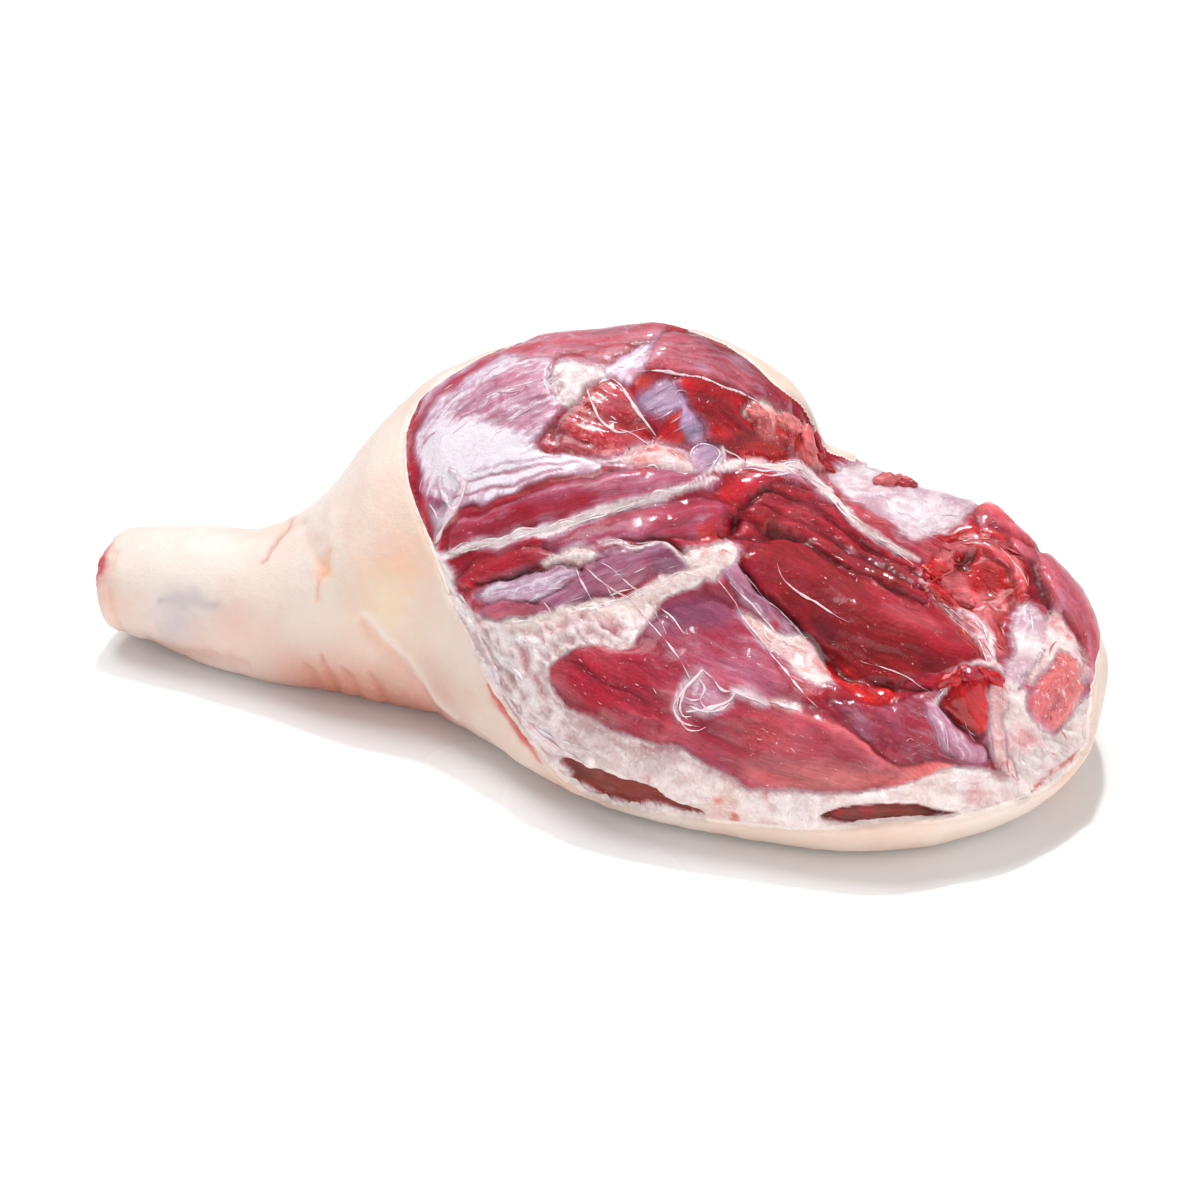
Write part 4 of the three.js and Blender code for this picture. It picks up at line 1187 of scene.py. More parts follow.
    def spot(self, spot, layers):
        """Stains a round place."""
        index = self.reach(np.array([spot.at], dtype=float), SPOT["reach"] * spot.radius)
        off = self.places[index] - np.array(spot.at)
        ragged = 1 + SPOT["ragged"] * FIELDS["spot edge"].at(self.points[index])
        radius = spot.radius * np.maximum(ragged, SPOT["least"])
        share = np.exp(-((np.hypot(off[:, 0], off[:, 1]) / radius) ** spot.edge))
        for layer in layers:
            lay(layer, spot.amount * share, TINTS[spot.tint], index)
        self.rise[index] += spot.rise * share
        self.wet[index] = np.maximum(self.wet[index], spot.wet * share)
        self.film[index] *= 1 - spot.amount * share

    def along_grain(self, stretch):
        """The points along and across the grain, drawn out along it."""
        return np.stack([self.along / stretch, self.across, np.zeros_like(self.along)], axis=1)


def crinkle_fat(paint):
    """White crests and grey hollows in the fat, strongest toward the shank: partly its own tone, partly
    painted highlight and shade.
    """
    thick = smoothstep(*FAT_BORDER, paint.fat)
    toward_shank = smoothstep(FAT_CALM, FAT_CRINKLED, paint.places[:, 0])
    rise, pale, grey = (calm + (full - calm) * toward_shank for calm, full in FOLD_SHARES)
    upward = FOLD["flat"] * paint.points[:, 2]
    folded = np.stack([paint.along / FOLD["stretch"], paint.across, upward], axis=1)
    crest = 1 - np.minimum(1, FOLD["sharp"] * np.abs(FIELDS["fold"].at(folded)))
    paint.rise += thick * rise * (FOLD["height"] * crest - FOLD["floor"])
    lay(paint.cover, pale * smoothstep(*FOLD_PALE, crest), TINTS["white"])
    lay(paint.cover, grey * smoothstep(*FOLD_GREY, crest), TINTS["fat grey"])


def paint_meat(paint, leg):
    """All patches, lines and spots of the meat face, the strands along its grain, and painted shade in its
    hollows.
    """
    both = (paint.tint, paint.cover)
    for seed, patch in enumerate(PATCHES + SLITS):
        paint.patch(patch, seed + 1)
    crinkle_fat(paint)
    for line in LINES:
        paint.line(line, both)
    for spot in SPOTS:
        paint.spot(spot, both)
    bare = smoothstep(*FAT_BORDER[::-1], paint.fat)
    strand = np.abs(FIELDS["strand"].at(paint.along_grain(STRAND["stretch"])))
    strand = np.minimum(1, STRAND["sharp"] * strand) ** STRAND["power"]
    paint.rise += bare * paint.strands * (strand - STRAND["middle"])
    # Painted shade: the tint darker in the grooves between strands.
    paint.tint *= 1 - (STRAND["dark"] * np.minimum(paint.strands, 1) * (1 - strand))[:, None]
    bundle = FIELDS["bundle"].at(paint.along_grain(BUNDLE["stretch"]))
    paint.rise += bare * (BUNDLE["least"] + (1 - BUNDLE["least"]) * paint.strands) * bundle
    # Painted light and shade: the tint lighter where bundles rise and darker where they sink.
    paint.tint *= np.clip(1 + BUNDLE["tone"] * bundle, *BUNDLE["tones"])[:, None]
    paint.rise += LUMP_HEIGHT * FIELDS["lump"].at(paint.points)
    paint.rise += MARBLE_HEIGHT * paint.marble * bare * FIELDS["marble"].at(paint.points)
    hollow = paint.rise - leg.softened(paint.rise, HOLLOW["width"])
    # Painted shade and light: darker in hollows, lighter on crests, and the fat dusty in hollows.
    paint.tint *= np.clip(1 + HOLLOW["tone"] * hollow, *HOLLOW["tones"])[:, None]
    lay(paint.cover, np.clip(-HOLLOW["stain"] * hollow, 0, HOLLOW["most"]), TINTS["dusty"])


def skin_edge(leg):
    """The closed line where the skin ends, as points on the solid."""
    seen = [leg.solid.seen_at(pixel)[0] for pixel in SKIN_EDGE_SEEN]
    hidden = []
    for x, degrees in SKIN_EDGE_HIDDEN:
        turn = math.radians(degrees)
        lean = min(max(x - BUTT_X, 0) / BUTT_REACH * math.pi / 2, math.radians(EDGE_LEAN))
        heading = (math.sin(lean), math.cos(lean) * math.cos(turn), math.cos(lean) * math.sin(turn))
        hidden.append(leg.solid.out_from(axis_point(x), heading))
    loop = smooth_line(seen + hidden, closed=True, pieces=EDGE_PIECES)
    return np.array([leg.solid.tree.find_nearest(Vector(p))[0] for p in loop])


def skin_depth(points, edge):
    """How far each point is inside the skin, in millimetres: negative on the meat."""
    tree = KDTree(len(edge))
    for i, point in enumerate(edge):
        tree.insert(Vector(point), i)
    tree.balance()
    distance = np.array([tree.find(Vector(p))[2] for p in points])
    meat = inside(unrolled(points), unrolled(edge))
    return np.where(meat, -distance, distance)


def paint_skin(paint, depth):
    """Colour and creases of the skin, and the step up to it from the meat."""
    points = paint.points
    x, z = points[:, 0], points[:, 2]
    mottle = MOTTLE["share"] * smoothstep(*MOTTLE["range"], FIELDS["mottle"].at(points))
    lay(paint.hide, mottle, TINTS["skin white"])
    lay(paint.hide, WHITE_SHANK["share"] * smoothstep(*WHITE_SHANK["x"], x), TINTS["skin white"])
    # Painted shade: the skin darker low on the collar, where it turns under toward the table, and a little on
    # the shank.
    ragged = z + LOW_SHADE["ragged"] * FIELDS["low shade"].at(points)
    low = smoothstep(*LOW_SHADE["z"], ragged) * smoothstep(*LOW_SHADE["x"], x)
    low *= LOW_SHADE["shank"] + (1 - LOW_SHADE["shank"]) * smoothstep(*LOW_SHADE["shank x"], x)
    lay(paint.hide, low, TINTS["skin shade"])
    meat_rise = paint.rise
    paint.rise = np.zeros(len(points))
    for spot in SKIN_SPOTS:
        paint.spot(spot, (paint.hide,))
    for crease in SKIN_CREASES:
        paint.line(crease, (paint.hide,))
    fine = FIELDS["skin fine"].at(points * np.array(SKIN_RELIEF["stretch"]))
    paint.rise += SKIN_RELIEF["fine"] * fine + SKIN_RELIEF["broad"] * FIELDS["skin broad"].at(points)
    share = smoothstep(-LIP["half"], LIP["half"], depth)
    lip = SKIN_STEP * (LIP["far"] + (1 - LIP["far"]) * np.exp(-np.maximum(depth, 0) / LIP["fade"]))
    paint.rise = meat_rise * (1 - share) + (paint.rise + lip) * share


def paint_cut(paint):
    """The shank's cut: red meat and a pale bone inside the rim of skin."""
    points = paint.points
    share = smoothstep(CUT["x"] + CUT["soft"], CUT["x"] - CUT["soft"], points[:, 0])
    _, y, z = axis_point(SHANK_X)
    from_middle = np.hypot(points[:, 1] - y, points[:, 2] - z - CUT["lift"])
    ragged = from_middle + CUT["ragged"] * FIELDS["cut rim"].at(points)
    meat = share * smoothstep(*CUT_MEAT, ragged)
    red = np.tile(TINTS["crimson"], (len(points), 1))
    lay(red, smoothstep(*CUT["shades"], FIELDS["cut shade"].at(points)), TINTS["rose"])
    lay(red, smoothstep(*CUT_BONE, from_middle), TINTS["cream"])
    lay(paint.hide, meat, red)
    paint.rise += meat * CUT["relief"] * FIELDS["cut relief"].at(points)


def mesh_object(name, points, faces, material):
    """A smooth-shaded object from points in millimetres."""
    mesh = bpy.data.meshes.new(name)
    mesh.from_pydata((np.asarray(points) * MM).tolist(), [], faces)
    mesh.materials.append(material)
    mesh.shade_smooth()
    piece = bpy.data.objects.new(name, mesh)
    bpy.context.collection.objects.link(piece)
    return piece


def set_values(mesh, name, values):
    """An attribute on a mesh's points: vectors or single numbers."""
    values = np.asarray(values, dtype=np.float32)
    if values.ndim == 1:
        mesh.attributes.new(name, "FLOAT", "POINT").data.foreach_set("value", values)
    else:
        mesh.attributes.new(name, "FLOAT_VECTOR", "POINT").data.foreach_set("vector", values.ravel())


def keep_used(points, faces):
    """The points that faces use, the faces renumbered, and where each point came from."""
    used = np.unique(np.concatenate([np.array(f) for f in faces]))
    fresh = np.zeros(len(points), dtype=int)
    fresh[used] = np.arange(len(used))
    return points[used], [tuple(int(i) for i in fresh[list(f)]) for f in faces], used


def lay_flat(mesh, leg, used):
    """The leg's flat map: the way round it runs across, the way along it runs up, with one seam."""
    rows, count = leg.points.shape[:2]
    across = np.interp(leg.columns, [FINE_FROM, FINE_TO, 360 + FINE_FROM], [0, MAP_FINE_SHARE, 1])
    path = [leg.ends[0][None], *leg.points, leg.ends[1][None]]
    steps = [np.linalg.norm(after - before, axis=1).mean() for before, after in zip(path[:-1], path[1:])]
    up = np.cumsum(steps) / np.sum(steps)
    corners = np.zeros(len(mesh.loops), dtype=np.int32)
    mesh.loops.foreach_get("vertex_index", corners)
    sizes = np.zeros(len(mesh.polygons), dtype=np.int32)
    mesh.polygons.foreach_get("loop_total", sizes)
    face = np.repeat(np.arange(len(sizes)), sizes)
    row, column = np.divmod(used[corners], count)
    ring = row < rows
    u = across[column]
    v = np.where(ring, up[np.minimum(row, rows)], used[corners] - rows * count)
    # A face over the seam goes on past the last column, and a corner at an end lies between its neighbours.
    last = np.zeros(len(sizes))
    np.maximum.at(last, face[ring], u[ring])
    u = u + (last[face] - u > 0.5)
    middle = np.bincount(face[ring], u[ring], len(sizes)) / np.bincount(face[ring], None, len(sizes))
    u = np.where(ring, u, middle[face])
    layer = mesh.uv_layers.new(name=MAP_NAME)
    layer.data.foreach_set("uv", np.stack([u, v], axis=1).astype(np.float32).ravel())


def build_leg(node, material):
    """The leg as one closed mesh, then its surface for scraps to lie on, and the line where the skin ends."""
    leg = Leg(node)
    points = leg.all_points()
    paint = Paint(points)
    paint_meat(paint, leg)
    edge = skin_edge(leg)
    depth = skin_depth(points, edge)
    paint_skin(paint, depth)
    paint_cut(paint)
    free = smoothstep(*TABLE_FADE, points[:, 2])
    lifted = points + leg.normals() * (paint.rise * free)[:, None]
    lifted[:, 2] = np.maximum(lifted[:, 2], 0)
    faces = leg.faces()
    shown, shown_faces, used = keep_used(lifted, faces)
    piece = mesh_object("leg", shown, shown_faces, material)
    lay_flat(piece.data, leg, used)
    layers = {
        "tint": paint.tint,
        "cover": paint.cover,
        "hide": paint.hide,
        "tissue": np.stack([paint.fat, paint.film, paint.wet], axis=1),
        "grain": np.stack([paint.along, paint.across, paint.strands], axis=1),
        "marble": paint.marble,
        "skin": np.clip(0.5 + depth / (2 * SKIN_EDGE), 0, 1),
    }
    for name, values in layers.items():
        set_values(piece.data, name, values[used])
    return piece, Surface(lifted, faces), edge


def point_along(line, at):
    """The points at distances along a line."""
    lengths = np.concatenate([[0], np.cumsum(np.linalg.norm(np.diff(line, axis=0), axis=1))])
    return np.stack([np.interp(at, lengths, line[:, k]) for k in range(line.shape[1])], axis=1)


def heading_along(line, at, look):
    """The way a line heads at distances along it, from points a little before and after."""
    return point_along(line, at + look) - point_along(line, at - look)


def evened(vectors):
    """Vectors along a line, drawn toward their neighbours."""
    for _ in range(2):
        vectors[1:-1] = (vectors[:-2] + 2 * vectors[1:-1] + vectors[2:]) / 4
    return vectors


def steps_for(length):
    """How many points a stroke of this length has."""
    return max(int(length / STROKE_STEP), LEAST_STEPS)


class Strokes:
    """Thin flat strokes that lie on the meat, gathered into one mesh."""

    def __init__(self, surface, edge):
        self.surface = surface
        self.edge = unrolled(edge[::EDGE_STRIDE])
        self.rng = np.random.default_rng(43)
        self.points, self.faces, self.tints = [], [], []
        self.turns = 2 * math.pi * np.arange(STROKE_SIDES) / STROKE_SIDES

    def add(self, route, width, tint, lift):
        """One stroke along a route of pixels, tapered at both ends and uneven in width."""
        seen = [self.surface.seen_at(pixel) for pixel in route]
        path, normals = (evened(np.array(values)) for values in zip(*seen))
        normals = unit(normals)
        path += STROKE_LIFT * normals
        jump = np.linalg.norm(np.diff(path, axis=0), axis=1).max()
        if jump > STROKE_JUMP or not inside(unrolled(path), self.edge).all():
            return
        side = unit(np.cross(normals, np.gradient(path, axis=0)))
        swell = np.sin(math.pi * np.linspace(*STROKE["tips"], len(path))) ** STROKE["taper"]
        varied = FIELDS["stroke width"].at(path + STROKE_APART * len(self.points))
        uneven = np.clip(STROKE["mean"] + STROKE["swing"] * varied, *STROKE["range"])
        half = 0.5 * width / PIXELS_PER_MM * swell * uneven
        high = STROKE["thin"] + lift * half
        spread = half[:, None, None] * np.cos(self.turns)[:, None] * side[:, None]
        spread = spread + high[:, None, None] * np.sin(self.turns)[:, None] * normals[:, None]
        rings = rings_from(len(self.points), len(path), STROKE_SIDES)
        self.points += list((path[:, None] + spread).reshape(-1, 3))
        self.tints += [TINTS[tint]] * (len(path) * STROKE_SIDES)
        self.faces += tube(rings) + [tuple(rings[0][::-1]), tuple(rings[-1])]

    def own_strip(self, at):
        """Places along a stroke as points of noise that no other stroke has."""
        return np.stack([at, np.full_like(at, STRIP_APART * self.rng.random()), np.zeros_like(at)], axis=1)

    def thread(self, route, width):
        """A single thread through some pixels, wandering a little."""
        line = smooth_line(route, pieces=THREAD["pieces"])
        length = near_line(line[:1], line)[2]
        at = np.linspace(0, length, steps_for(length))
        strip = self.own_strip(at)
        sway = np.stack([FIELDS[name].at(strip) for name in ("sway across", "sway down")], axis=1)
        loose = np.sin(math.pi * at / length)[:, None]
        self.add(point_along(line, at) + THREAD["sway"] * sway * loose, width, "thread", THREAD["lift"])

    def cord(self, line):
        """The ribs of a line of fascia, each for part of its length."""
        route = smooth_line(line.route)
        length = near_line(route[:1], route)[2]
        for _ in range(int(RIBS * math.sqrt(length * line.width))):
            start = self.rng.uniform(0, RIB["last start"]) * length
            end = min(start + self.rng.uniform(*RIB["length"]) * length, length)
            at = np.linspace(start, end, steps_for(end - start))
            ahead = unit(heading_along(route, at, RIB["look"]))
            side = np.stack([-ahead[:, 1], ahead[:, 0]], axis=1)
            varied = RIB["sway"] * FIELDS["rib"].at(self.own_strip(at))
            off = RIB["off"] * line.width * (self.rng.normal() + varied)
            tint = self.rng.choice([line.tint, "white", "silver"])
            width = self.rng.uniform(*RIB_WIDTH)
            self.add(point_along(route, at) + off[:, None] * side, width, tint, RIB_LIFT)

    def scatter(self, scatter, patch):
        """Strokes at random places in a patch, along its grain."""
        outline = smooth_line(patch.outline, closed=True, pieces=OUTLINE_PIECES)
        corners = (outline.min(axis=0), outline.max(axis=0))
        tries = self.rng.uniform(*corners, (FLECK["tries"] * scatter.count, 2))
        places = tries[inside(tries, outline)][:scatter.count]
        grain = smooth_line(patch.grain)
        ahead = heading_along(grain, near_line(places, grain)[1], FLECK["look"])
        turn = np.arctan2(ahead[:, 1], ahead[:, 0])
        turn += np.radians(scatter.spread) * self.rng.normal(size=len(places))
        for place, angle in zip(places, turn):
            length = self.rng.uniform(*scatter.length)
            steps = np.linspace(-0.5, 0.5, steps_for(length)) * length
            bend = angle + self.rng.normal() * FLECK["bend"] * steps / length
            route = place + np.stack([steps * np.cos(bend), steps * np.sin(bend)], axis=1)
            self.add(route, self.rng.uniform(*scatter.width), self.rng.choice(scatter.tints), scatter.lift)


def build_strokes(surface, edge, material):
    """Threads, cords, flecks and wisps on the meat, as one mesh."""
    strokes = Strokes(surface, edge)
    for _, width, route in THREADS:
        strokes.thread(route, width)
    for line in LINES:
        if line.fat:
            strokes.cord(line)
    patches = {patch.name: patch for patch in PATCHES}
    for scatter in SCATTERS:
        for name in scatter.patches:
            strokes.scatter(scatter, patches[name])
    piece = mesh_object("strokes", strokes.points, strokes.faces, material)
    set_values(piece.data, "tint", strokes.tints)
    return piece


def unit_ball():
    """A ball's points ring by ring along its first axis, then its two ends."""
    turns = 2 * math.pi * np.arange(SCRAP_SIDES) / SCRAP_SIDES
    tilts = math.pi * np.arange(1, SCRAP_RINGS) / SCRAP_RINGS
    rings = [
        (math.cos(tilt), math.sin(tilt) * math.cos(turn), math.sin(tilt) * math.sin(turn))
        for tilt in tilts
        for turn in turns
    ]
    return np.array(rings + [(1, 0, 0), (-1, 0, 0)])


def build_scraps(surface, material):
    """Torn scraps of meat on the surface."""
    points, faces, tints = [], [], []
    rng = np.random.default_rng(29)
    for _, pixel, degrees, half_length, half_width, tint in SCRAPS:
        hit, normal = surface.seen_at(pixel)
        turn = math.radians(degrees)
        heading = math.cos(turn) * RIGHT - math.sin(turn) * UP
        ahead = unit(heading - normal * (heading @ normal))
        side = np.cross(normal, ahead)
        ball = unit_ball()
        torn = FIELDS["scrap"].at(ball * SCRAP["scale"] + rng.uniform(0, SCRAP["apart"], 3))
        ball *= 1 + SCRAP["ragged"] * torn[:, None]
        shape = ball @ np.array([ahead * half_length, side * half_width, normal * half_width * SCRAP["flat"]])
        rings = rings_from(len(points), SCRAP_RINGS - 1, SCRAP_SIDES)
        tip = rings[-1][-1] + 1
        points += list(hit + shape)
        tones = 1 + SCRAP["tone"] * FIELDS["scrap tone"].at(ball * SCRAP["scale"])
        tints += [TINTS[tint] * tone for tone in tones]
        faces += tube(rings) + fan(rings[0][::-1], tip) + fan(rings[-1], tip + 1)
    piece = mesh_object("scraps", points, faces, material)
    count = len(points)
    set_values(piece.data, "tint", np.clip(tints, 0, 1))
    set_values(piece.data, "tissue", np.tile([0.0, 0.0, SCRAP_MEAT["wet"]], (count, 1)))
    grain = np.array(points) * np.array(SCRAP_MEAT["grain"]) + np.array([0, 0, SCRAP_MEAT["strands"]])
    set_values(piece.data, "grain", grain)
    set_values(piece.data, "marble", np.full(count, SCRAP_MEAT["marble"]))
    return piece


class Shader:
    """A Principled material and the nodes that feed it."""

    def __init__(self, name):
        self.material = bpy.data.materials.new(name)
        self.material.use_nodes = True
        self.tree = self.material.node_tree
        self.bsdf = self.tree.nodes["Principled BSDF"]
        self.place = self.node("TexCoord").outputs["Object"]

    def node(self, kind, inputs=None, **settings):
        """A new node with its settings and what its inputs get."""
        made = self.tree.nodes.new("ShaderNode" + kind)
        for key, value in settings.items():
            setattr(made, key, value)
        for key, value in (inputs or {}).items():
            self.feed(made.inputs[key], value)
        return made

    def feed(self, socket, value):
        """Gives a socket a link or a constant."""
        if isinstance(value, bpy.types.NodeSocket):
            self.tree.links.new(value, socket)
        else:
            socket.default_value = value

    def attribute(self, name, output="Vector"):
        """What the mesh's points hold under a name."""
        return self.node("Attribute", attribute_name=name).outputs[output]

    def parts(self, vector):
        """A vector's three numbers."""
        return self.node("SeparateXYZ", {"Vector": vector}).outputs

    def math(self, operation, a, b=0.0):
        """A sum of one kind on two numbers."""
        return self.node("Math", {0: a, 1: b}, operation=operation).outputs["Value"]

    def add(self, *terms):
        """The terms added up."""
        total = terms[0]
        for term in terms[1:]:
            total = self.math("ADD", total, term)
        return total

    def times(self, a, b):
        """The product of two numbers."""
        return self.math("MULTIPLY", a, b)

    def step(self, value, low, high, to=(0.0, 1.0)):
        """An even change from one number to another while the value goes from low to high."""
        inputs = {"Value": value, "From Min": low, "From Max": high, "To Min": to[0], "To Max": to[1]}
        return self.node("MapRange", inputs, interpolation_type="SMOOTHSTEP").outputs["Result"]

    def noise(self, size, detail=3.0, roughness=0.55, vector=None):
        """Noise with features of a size in millimetres, over the object or over another vector."""
        scale = 1 / (size * MM) if vector is None else 1 / size
        inputs = {"Vector": vector or self.place, "Scale": scale, "Detail": detail, "Roughness": roughness}
        return self.node("TexNoise", inputs).outputs["Fac"]

    def swing(self, value, amount):
        """Noise moved to lie evenly about 0."""
        return self.times(self.math("SUBTRACT", value, 0.5), amount)

    def between(self, kind, share, a, b):
        """What lies a share of the way from a to b."""
        first, second, result = MIX_SOCKETS[kind]
        made = self.node("Mix", data_type=kind)
        for key, value in (("Factor", share), (first, a), (second, b)):
            self.feed(made.inputs[key], value)
        return made.outputs[result]

    def mix(self, share, a, b):
        """A colour between two."""
        return self.between("RGBA", share, a, b)

    def blend(self, share, a, b):
        """A number between two."""
        return self.between("FLOAT", share, a, b)

    def bump(self, height, strength, distance):
        """Normals tilted by a height."""
        inputs = {"Height": height, "Strength": strength, "Distance": distance}
        return self.node("Bump", inputs).outputs["Normal"]

    def set(self, **values):
        """Feeds the Principled node's sockets by name."""
        for key, value in values.items():
            self.feed(self.bsdf.inputs[key.replace("_", " ")], value)


def rgba(tint, level=1.0):
    """A palette colour for a shader socket."""
    return (*(TINTS[tint] * level), 1.0)


def read_meat(s):
    """What the meat's points hold, and the noises that vary it."""
    m = SimpleNamespace(tint=s.attribute("tint"), cover=s.attribute("cover"))
    m.fat, m.film, m.wet = s.parts(s.attribute("tissue"))
    m.along, m.across, m.strands = s.parts(s.attribute("grain"))
    m.marble = s.attribute("marble", "Fac")
    m.fibre = s.noise(1.0, detail=5.0, roughness=0.7, vector=along_grain(s, m, 12, 0.9, 0.0))
    m.bundle = s.noise(1.0, detail=3.0, roughness=0.5, vector=along_grain(s, m, 34, 4.0, 5.0))
    m.drawn = s.noise(1.0, detail=5.0, roughness=0.6, vector=along_grain(s, m, 20, 3.0, 3.0))
    m.blotch = s.noise(15, detail=4.0, roughness=0.6)
    m.grit = s.noise(3.2, detail=4.0, roughness=0.6)
    m.fine = s.noise(1.1, detail=4.0, roughness=0.65)
    return m


def along_grain(s, m, length, width, layer):
    """Places along and across the grain, in features of a length and width in millimetres."""
    inputs = {"X": s.times(m.along, 1 / length), "Y": s.times(m.across, 1 / width), "Z": layer}
    return s.node("CombineXYZ", inputs).outputs["Vector"]


def bare_muscle(s, m):
    """Light and dark fibres, dull purple blotches, and pink and white where it is torn."""
    contrast = s.step(m.strands, 0.0, 1.5, to=(0.6, 1.0))
    mixed = s.add(s.times(m.fibre, 0.5), s.times(m.bundle, 0.3), s.times(m.grit, 0.2))
    shade = s.step(mixed, 0.36, 0.64, to=(-0.45, 0.36))
    shade = s.add(1.0, s.times(shade, contrast), s.swing(m.blotch, 0.5))
    meat = s.node("VectorMath", {0: m.tint, 3: shade}, operation="SCALE").outputs["Vector"]
    dull = s.times(s.step(m.blotch, 0.5, 0.72, to=(0.0, 0.25)), s.step(m.wet, 0.5, 0.8, to=(1.0, 0.0)))
    meat = s.mix(dull, meat, rgba("purple", 0.7))
    torn = s.times(s.step(m.marble, 0.2, 1.0), s.step(s.noise(5, detail=4.0, roughness=0.65), 0.48, 0.62))
    meat = s.mix(s.times(torn, 0.6), meat, rgba("bright pink"))
    marbled = s.step(m.marble, 0.3, 1.0)
    torn_white = s.times(marbled, s.step(s.noise(4, detail=4.0, roughness=0.7), 0.58, 0.66))
    return s.mix(s.times(torn_white, 0.5), meat, rgba("white"))


def under_film(s, m, colour):
    """A thin veil of film over a colour, and silver sheets where the film is thickest."""
    veil = s.step(s.add(m.film, s.swing(m.drawn, 1.5), s.swing(m.blotch, 0.8)), 0.2, 0.9)
    sheet = s.step(s.add(m.film, s.swing(m.drawn, 1.6), s.swing(m.grit, 0.6)), 0.68, 1.15)
    veil = s.times(veil, s.step(m.film, 0.0, 0.2, to=(0.15, 0.55)))
    colour = s.mix(veil, colour, rgba("lilac"))
    return s.mix(s.times(sheet, 0.85), colour, rgba("silver"))


def under_fat(s, m, colour):
    """Fat over a colour: a torn edge with a haze, then white crests and dusty hollows on its bump, partly its
    own tone, partly painted highlight and shade.
    """
    torn_edge = s.add(s.swing(m.grit, 0.4), s.swing(m.drawn, 0.5), s.swing(m.fine, 0.15))
    ragged = s.add(m.fat, s.times(torn_edge, s.step(m.fat, 0.0, 0.2)))
    haze = s.step(ragged, 0.1, 0.5)
    m.solid = s.step(ragged, 0.34, 0.68)
    wrinkle = s.math("ABSOLUTE", s.swing(s.noise(6, detail=3.0, roughness=0.5), 1.0))
    crinkle = s.math("ABSOLUTE", s.swing(m.grit, 1.0))
    large = s.step(wrinkle, 0.0, 0.14, to=(0.0, 0.5))
    small = s.step(crinkle, 0.0, 0.12, to=(0.0, 0.3))
    m.crest = s.add(large, small, s.times(m.fine, 0.4))
    thick = s.step(s.add(s.times(m.drawn, 0.5), s.times(m.blotch, 0.5)), 0.4, 0.6, to=(1.0, 0.7))
    # Painted shade and highlight: hollows dusty and crests whiter, following the fat's bump.
    hollow = s.mix(0.14, m.cover, rgba("dusty"))
    fat_tone = s.mix(s.step(m.crest, 0.2, 0.65), hollow, m.cover)
    fat_tone = s.mix(s.step(m.crest, 0.6, 0.95, to=(0.0, 0.4)), fat_tone, rgba("white"))
    fat_tone = s.mix(s.step(m.blotch, 0.5, 0.68, to=(0.0, 0.08)), fat_tone, rgba("rose"))
    colour = s.mix(s.times(haze, 0.4), colour, rgba("thread"))
    return s.mix(s.times(m.solid, thick), colour, fat_tone)


def with_specks_and_glints(s, m, colour):
    """Pale specks in clusters over a colour, on wet and torn meat: partly white tissue, partly painted
    glints.
    """
    cluster = s.times(s.step(s.noise(9, detail=2.0), 0.48, 0.62), s.step(s.add(m.wet, m.marble), 0.1, 1.0))
    speck = s.noise(1.0, detail=3.0, roughness=0.6, vector=along_grain(s, m, 3.0, 1.2, 7.0))
    speck = s.times(s.step(speck, 0.63, 0.68), cluster)
    return s.mix(s.times(speck, 0.6), colour, rgba("thread"))


def meat_layer(s):
    """Muscle, film and fat: colour, roughness, gloss and height."""
    m = read_meat(s)
    colour = with_specks_and_glints(s, m, under_fat(s, m, under_film(s, m, bare_muscle(s, m))))
    rough = s.step(s.add(m.wet, s.times(m.film, 0.4)), 0.1, 1.0, to=(0.46, 0.26))
    gloss = s.step(m.wet, 0.0, 0.9, to=(0.18, 0.75))
    relief = s.add(s.times(m.fibre, 0.5), s.times(m.bundle, 0.6), s.times(m.grit, 1.4), s.times(m.fine, 0.6))
    fat_relief = s.add(s.times(m.crest, 1.1), s.times(m.fine, 0.2))
    height = s.blend(m.solid, relief, fat_relief)
    return colour, rough, gloss, height


def skin_layer(s):
    """Fresh pork skin: pale, faintly mottled, with fine pores and creases."""
    hide = s.attribute("hide")
    mottle = s.noise(24, detail=4.0)
    creases = s.noise(4.5, detail=5.0, roughness=0.6)
    pores = s.noise(1.1, detail=2.0)
    colour = s.mix(s.step(mottle, 0.45, 0.7, to=(0.0, 0.18)), hide, rgba("skin pink"))
    colour = s.mix(s.step(creases, 0.5, 0.78, to=(0.0, 0.12)), colour, rgba("skin white"))
    rough = s.step(mottle, 0.3, 0.7, to=(0.38, 0.5))
    height = s.add(s.times(creases, 0.8), s.times(pores, 0.3))
    return colour, rough, height


def leg_material():
    """The whole leg: meat and skin, parted by a clean line with a pale edge of fat."""
    s = Shader("raw_pork")
    skin = s.add(s.attribute("skin", "Fac"), s.swing(s.noise(6, detail=3.0), 0.12))
    on_skin = s.step(skin, 0.48, 0.52)
    colour, rough, gloss, height = meat_layer(s)
    edge = s.step(skin, 0.33, 0.37)
    colour = s.mix(edge, colour, rgba("cream"))
    skin_colour, skin_rough, skin_height = skin_layer(s)
    colour = s.mix(on_skin, colour, skin_colour)
    s.set(Base_Color=colour, Roughness=s.blend(on_skin, rough, skin_rough))
    height = s.blend(on_skin, height, skin_height)
    s.set(Normal=s.bump(height, MEAT_BUMP, BUMP_DEPTH), Coat_Normal=s.bump(height, COAT_BUMP, BUMP_DEPTH))
    s.set(Coat_Weight=s.blend(on_skin, gloss, SKIN_GLOSS), Coat_Roughness=0.06)
    s.set(Specular_IOR_Level=MEAT_SPECULAR)
    s.set(Subsurface_Weight=0.1, Subsurface_Radius=(1.0, 0.35, 0.25), Subsurface_Scale=0.003)
    return s.material


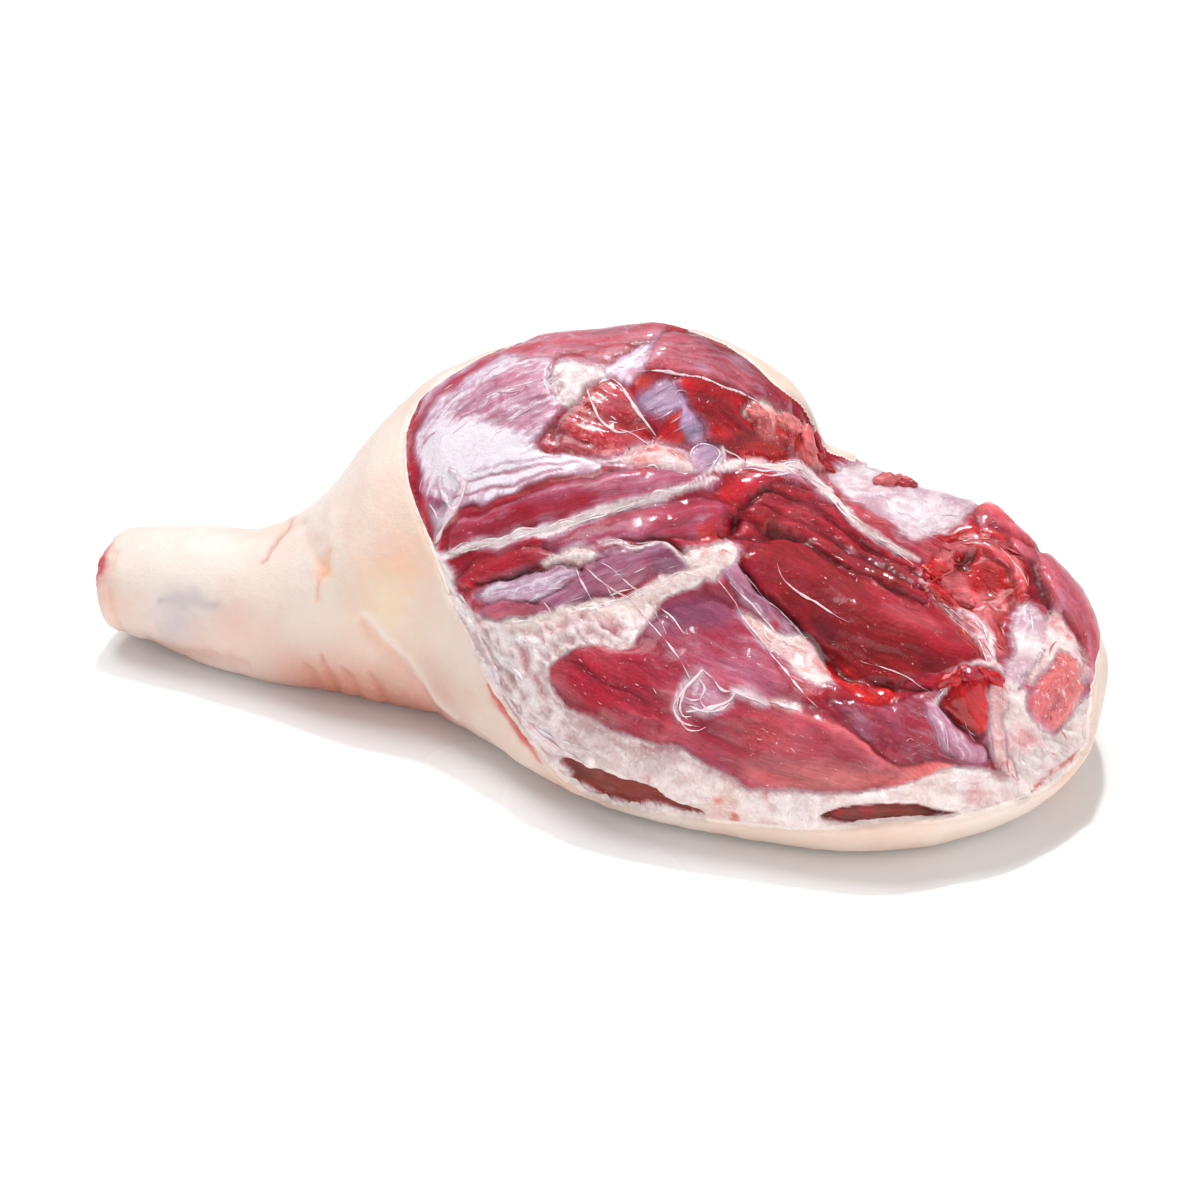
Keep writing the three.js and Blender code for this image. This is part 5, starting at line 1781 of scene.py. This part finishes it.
def scrap_material():
    """Torn meat."""
    s = Shader("torn_meat")
    colour, rough, gloss, height = meat_layer(s)
    s.set(Base_Color=colour, Roughness=rough, Coat_Weight=gloss, Coat_Roughness=0.08)
    s.set(Specular_IOR_Level=MEAT_SPECULAR)
    s.set(Normal=s.bump(height, SCRAP_BUMP, SCRAP_DEPTH), Coat_Normal=s.bump(height, COAT_BUMP, SCRAP_DEPTH))
    return s.material


def stroke_material():
    """Fascia, fat and torn fibres, thin enough in places for the meat to tint them."""
    s = Shader("fascia")
    tone = s.noise(4, detail=4.0, roughness=0.65)
    colour = s.mix(s.step(tone, 0.45, 0.7, to=(0.0, 0.5)), s.attribute("tint"), rgba("rose"))
    s.set(Base_Color=colour, Roughness=s.step(tone, 0.3, 0.7, to=(0.25, 0.4)))
    s.set(Coat_Weight=0.2, Coat_Roughness=0.1)
    s.set(Subsurface_Weight=0.1, Subsurface_Radius=(1.0, 0.5, 0.4), Subsurface_Scale=0.002)
    return s.material


def floor_material():
    """A pale table top with a soft gloss."""
    s = Shader("pale_table")
    rough = s.step(s.noise(300, detail=2.0), 0.3, 0.7, to=(0.22, 0.28))
    s.set(Base_Color=(0.9, 0.9, 0.9, 1.0), Roughness=rough, Specular_IOR_Level=0.25)
    return s.material


def build_floor():
    """The table, far wider than the camera sees."""
    half = FLOOR_HALF
    corners = [(-half, -half, 0), (half, -half, 0), (half, half, 0), (-half, half, 0)]
    floor = mesh_object("floor", corners, [(0, 1, 2, 3)], floor_material())
    floor.location.z = -FLOOR_DROP * MM


def add_sun(name, place, strength, spread):
    """A broad light from a direction, with the angle it fills in degrees."""
    lamp = bpy.data.lights.new(name, "SUN")
    lamp.energy = strength
    lamp.angle = math.radians(spread)
    light = bpy.data.objects.new(name, lamp)
    light.location = place
    light.rotation_euler = (-Vector(place)).to_track_quat("-Z", "Y").to_euler()
    bpy.context.collection.objects.link(light)


def build_lights():
    """A high-key studio: a white room, broad lights from above, front and right, and a small glint."""
    world = bpy.data.worlds.new("white_room")
    world.use_nodes = True
    background = world.node_tree.nodes["Background"]
    background.inputs["Color"].default_value = (1.0, 1.0, 1.0, 1.0)
    background.inputs["Strength"].default_value = ROOM_LIGHT
    bpy.context.scene.world = world
    for name, place, strength, spread in LIGHTS:
        add_sun(name, place, strength, spread)


def build_camera():
    """The photograph's camera."""
    lens = bpy.data.cameras.new("camera")
    lens.sensor_width = SENSOR
    lens.lens = SENSOR * DISTANCE / FIELD_WIDTH
    lens.clip_end = SIGHT
    camera = bpy.data.objects.new("camera", lens)
    camera.location = EYE * MM
    camera.rotation_euler = Vector(LOOK_AT - EYE).to_track_quat("-Z", "Y").to_euler()
    bpy.context.collection.objects.link(camera)
    bpy.context.scene.camera = camera


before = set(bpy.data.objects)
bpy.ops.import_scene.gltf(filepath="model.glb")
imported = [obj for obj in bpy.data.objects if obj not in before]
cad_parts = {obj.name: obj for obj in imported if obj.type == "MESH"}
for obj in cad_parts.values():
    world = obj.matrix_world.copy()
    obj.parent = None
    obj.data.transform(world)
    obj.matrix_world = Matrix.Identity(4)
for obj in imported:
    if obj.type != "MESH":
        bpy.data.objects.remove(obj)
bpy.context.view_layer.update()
bpy.context.scene.view_settings.view_transform = "Standard"
build_camera()
build_lights()
build_floor()
leg, surface, edge = build_leg(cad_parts["pork_leg"], leg_material())
strokes = build_strokes(surface, edge, stroke_material())
scraps = build_scraps(surface, scrap_material())
for piece in (leg, strokes, scraps):
    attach(piece, "root")
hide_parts("pork_leg")
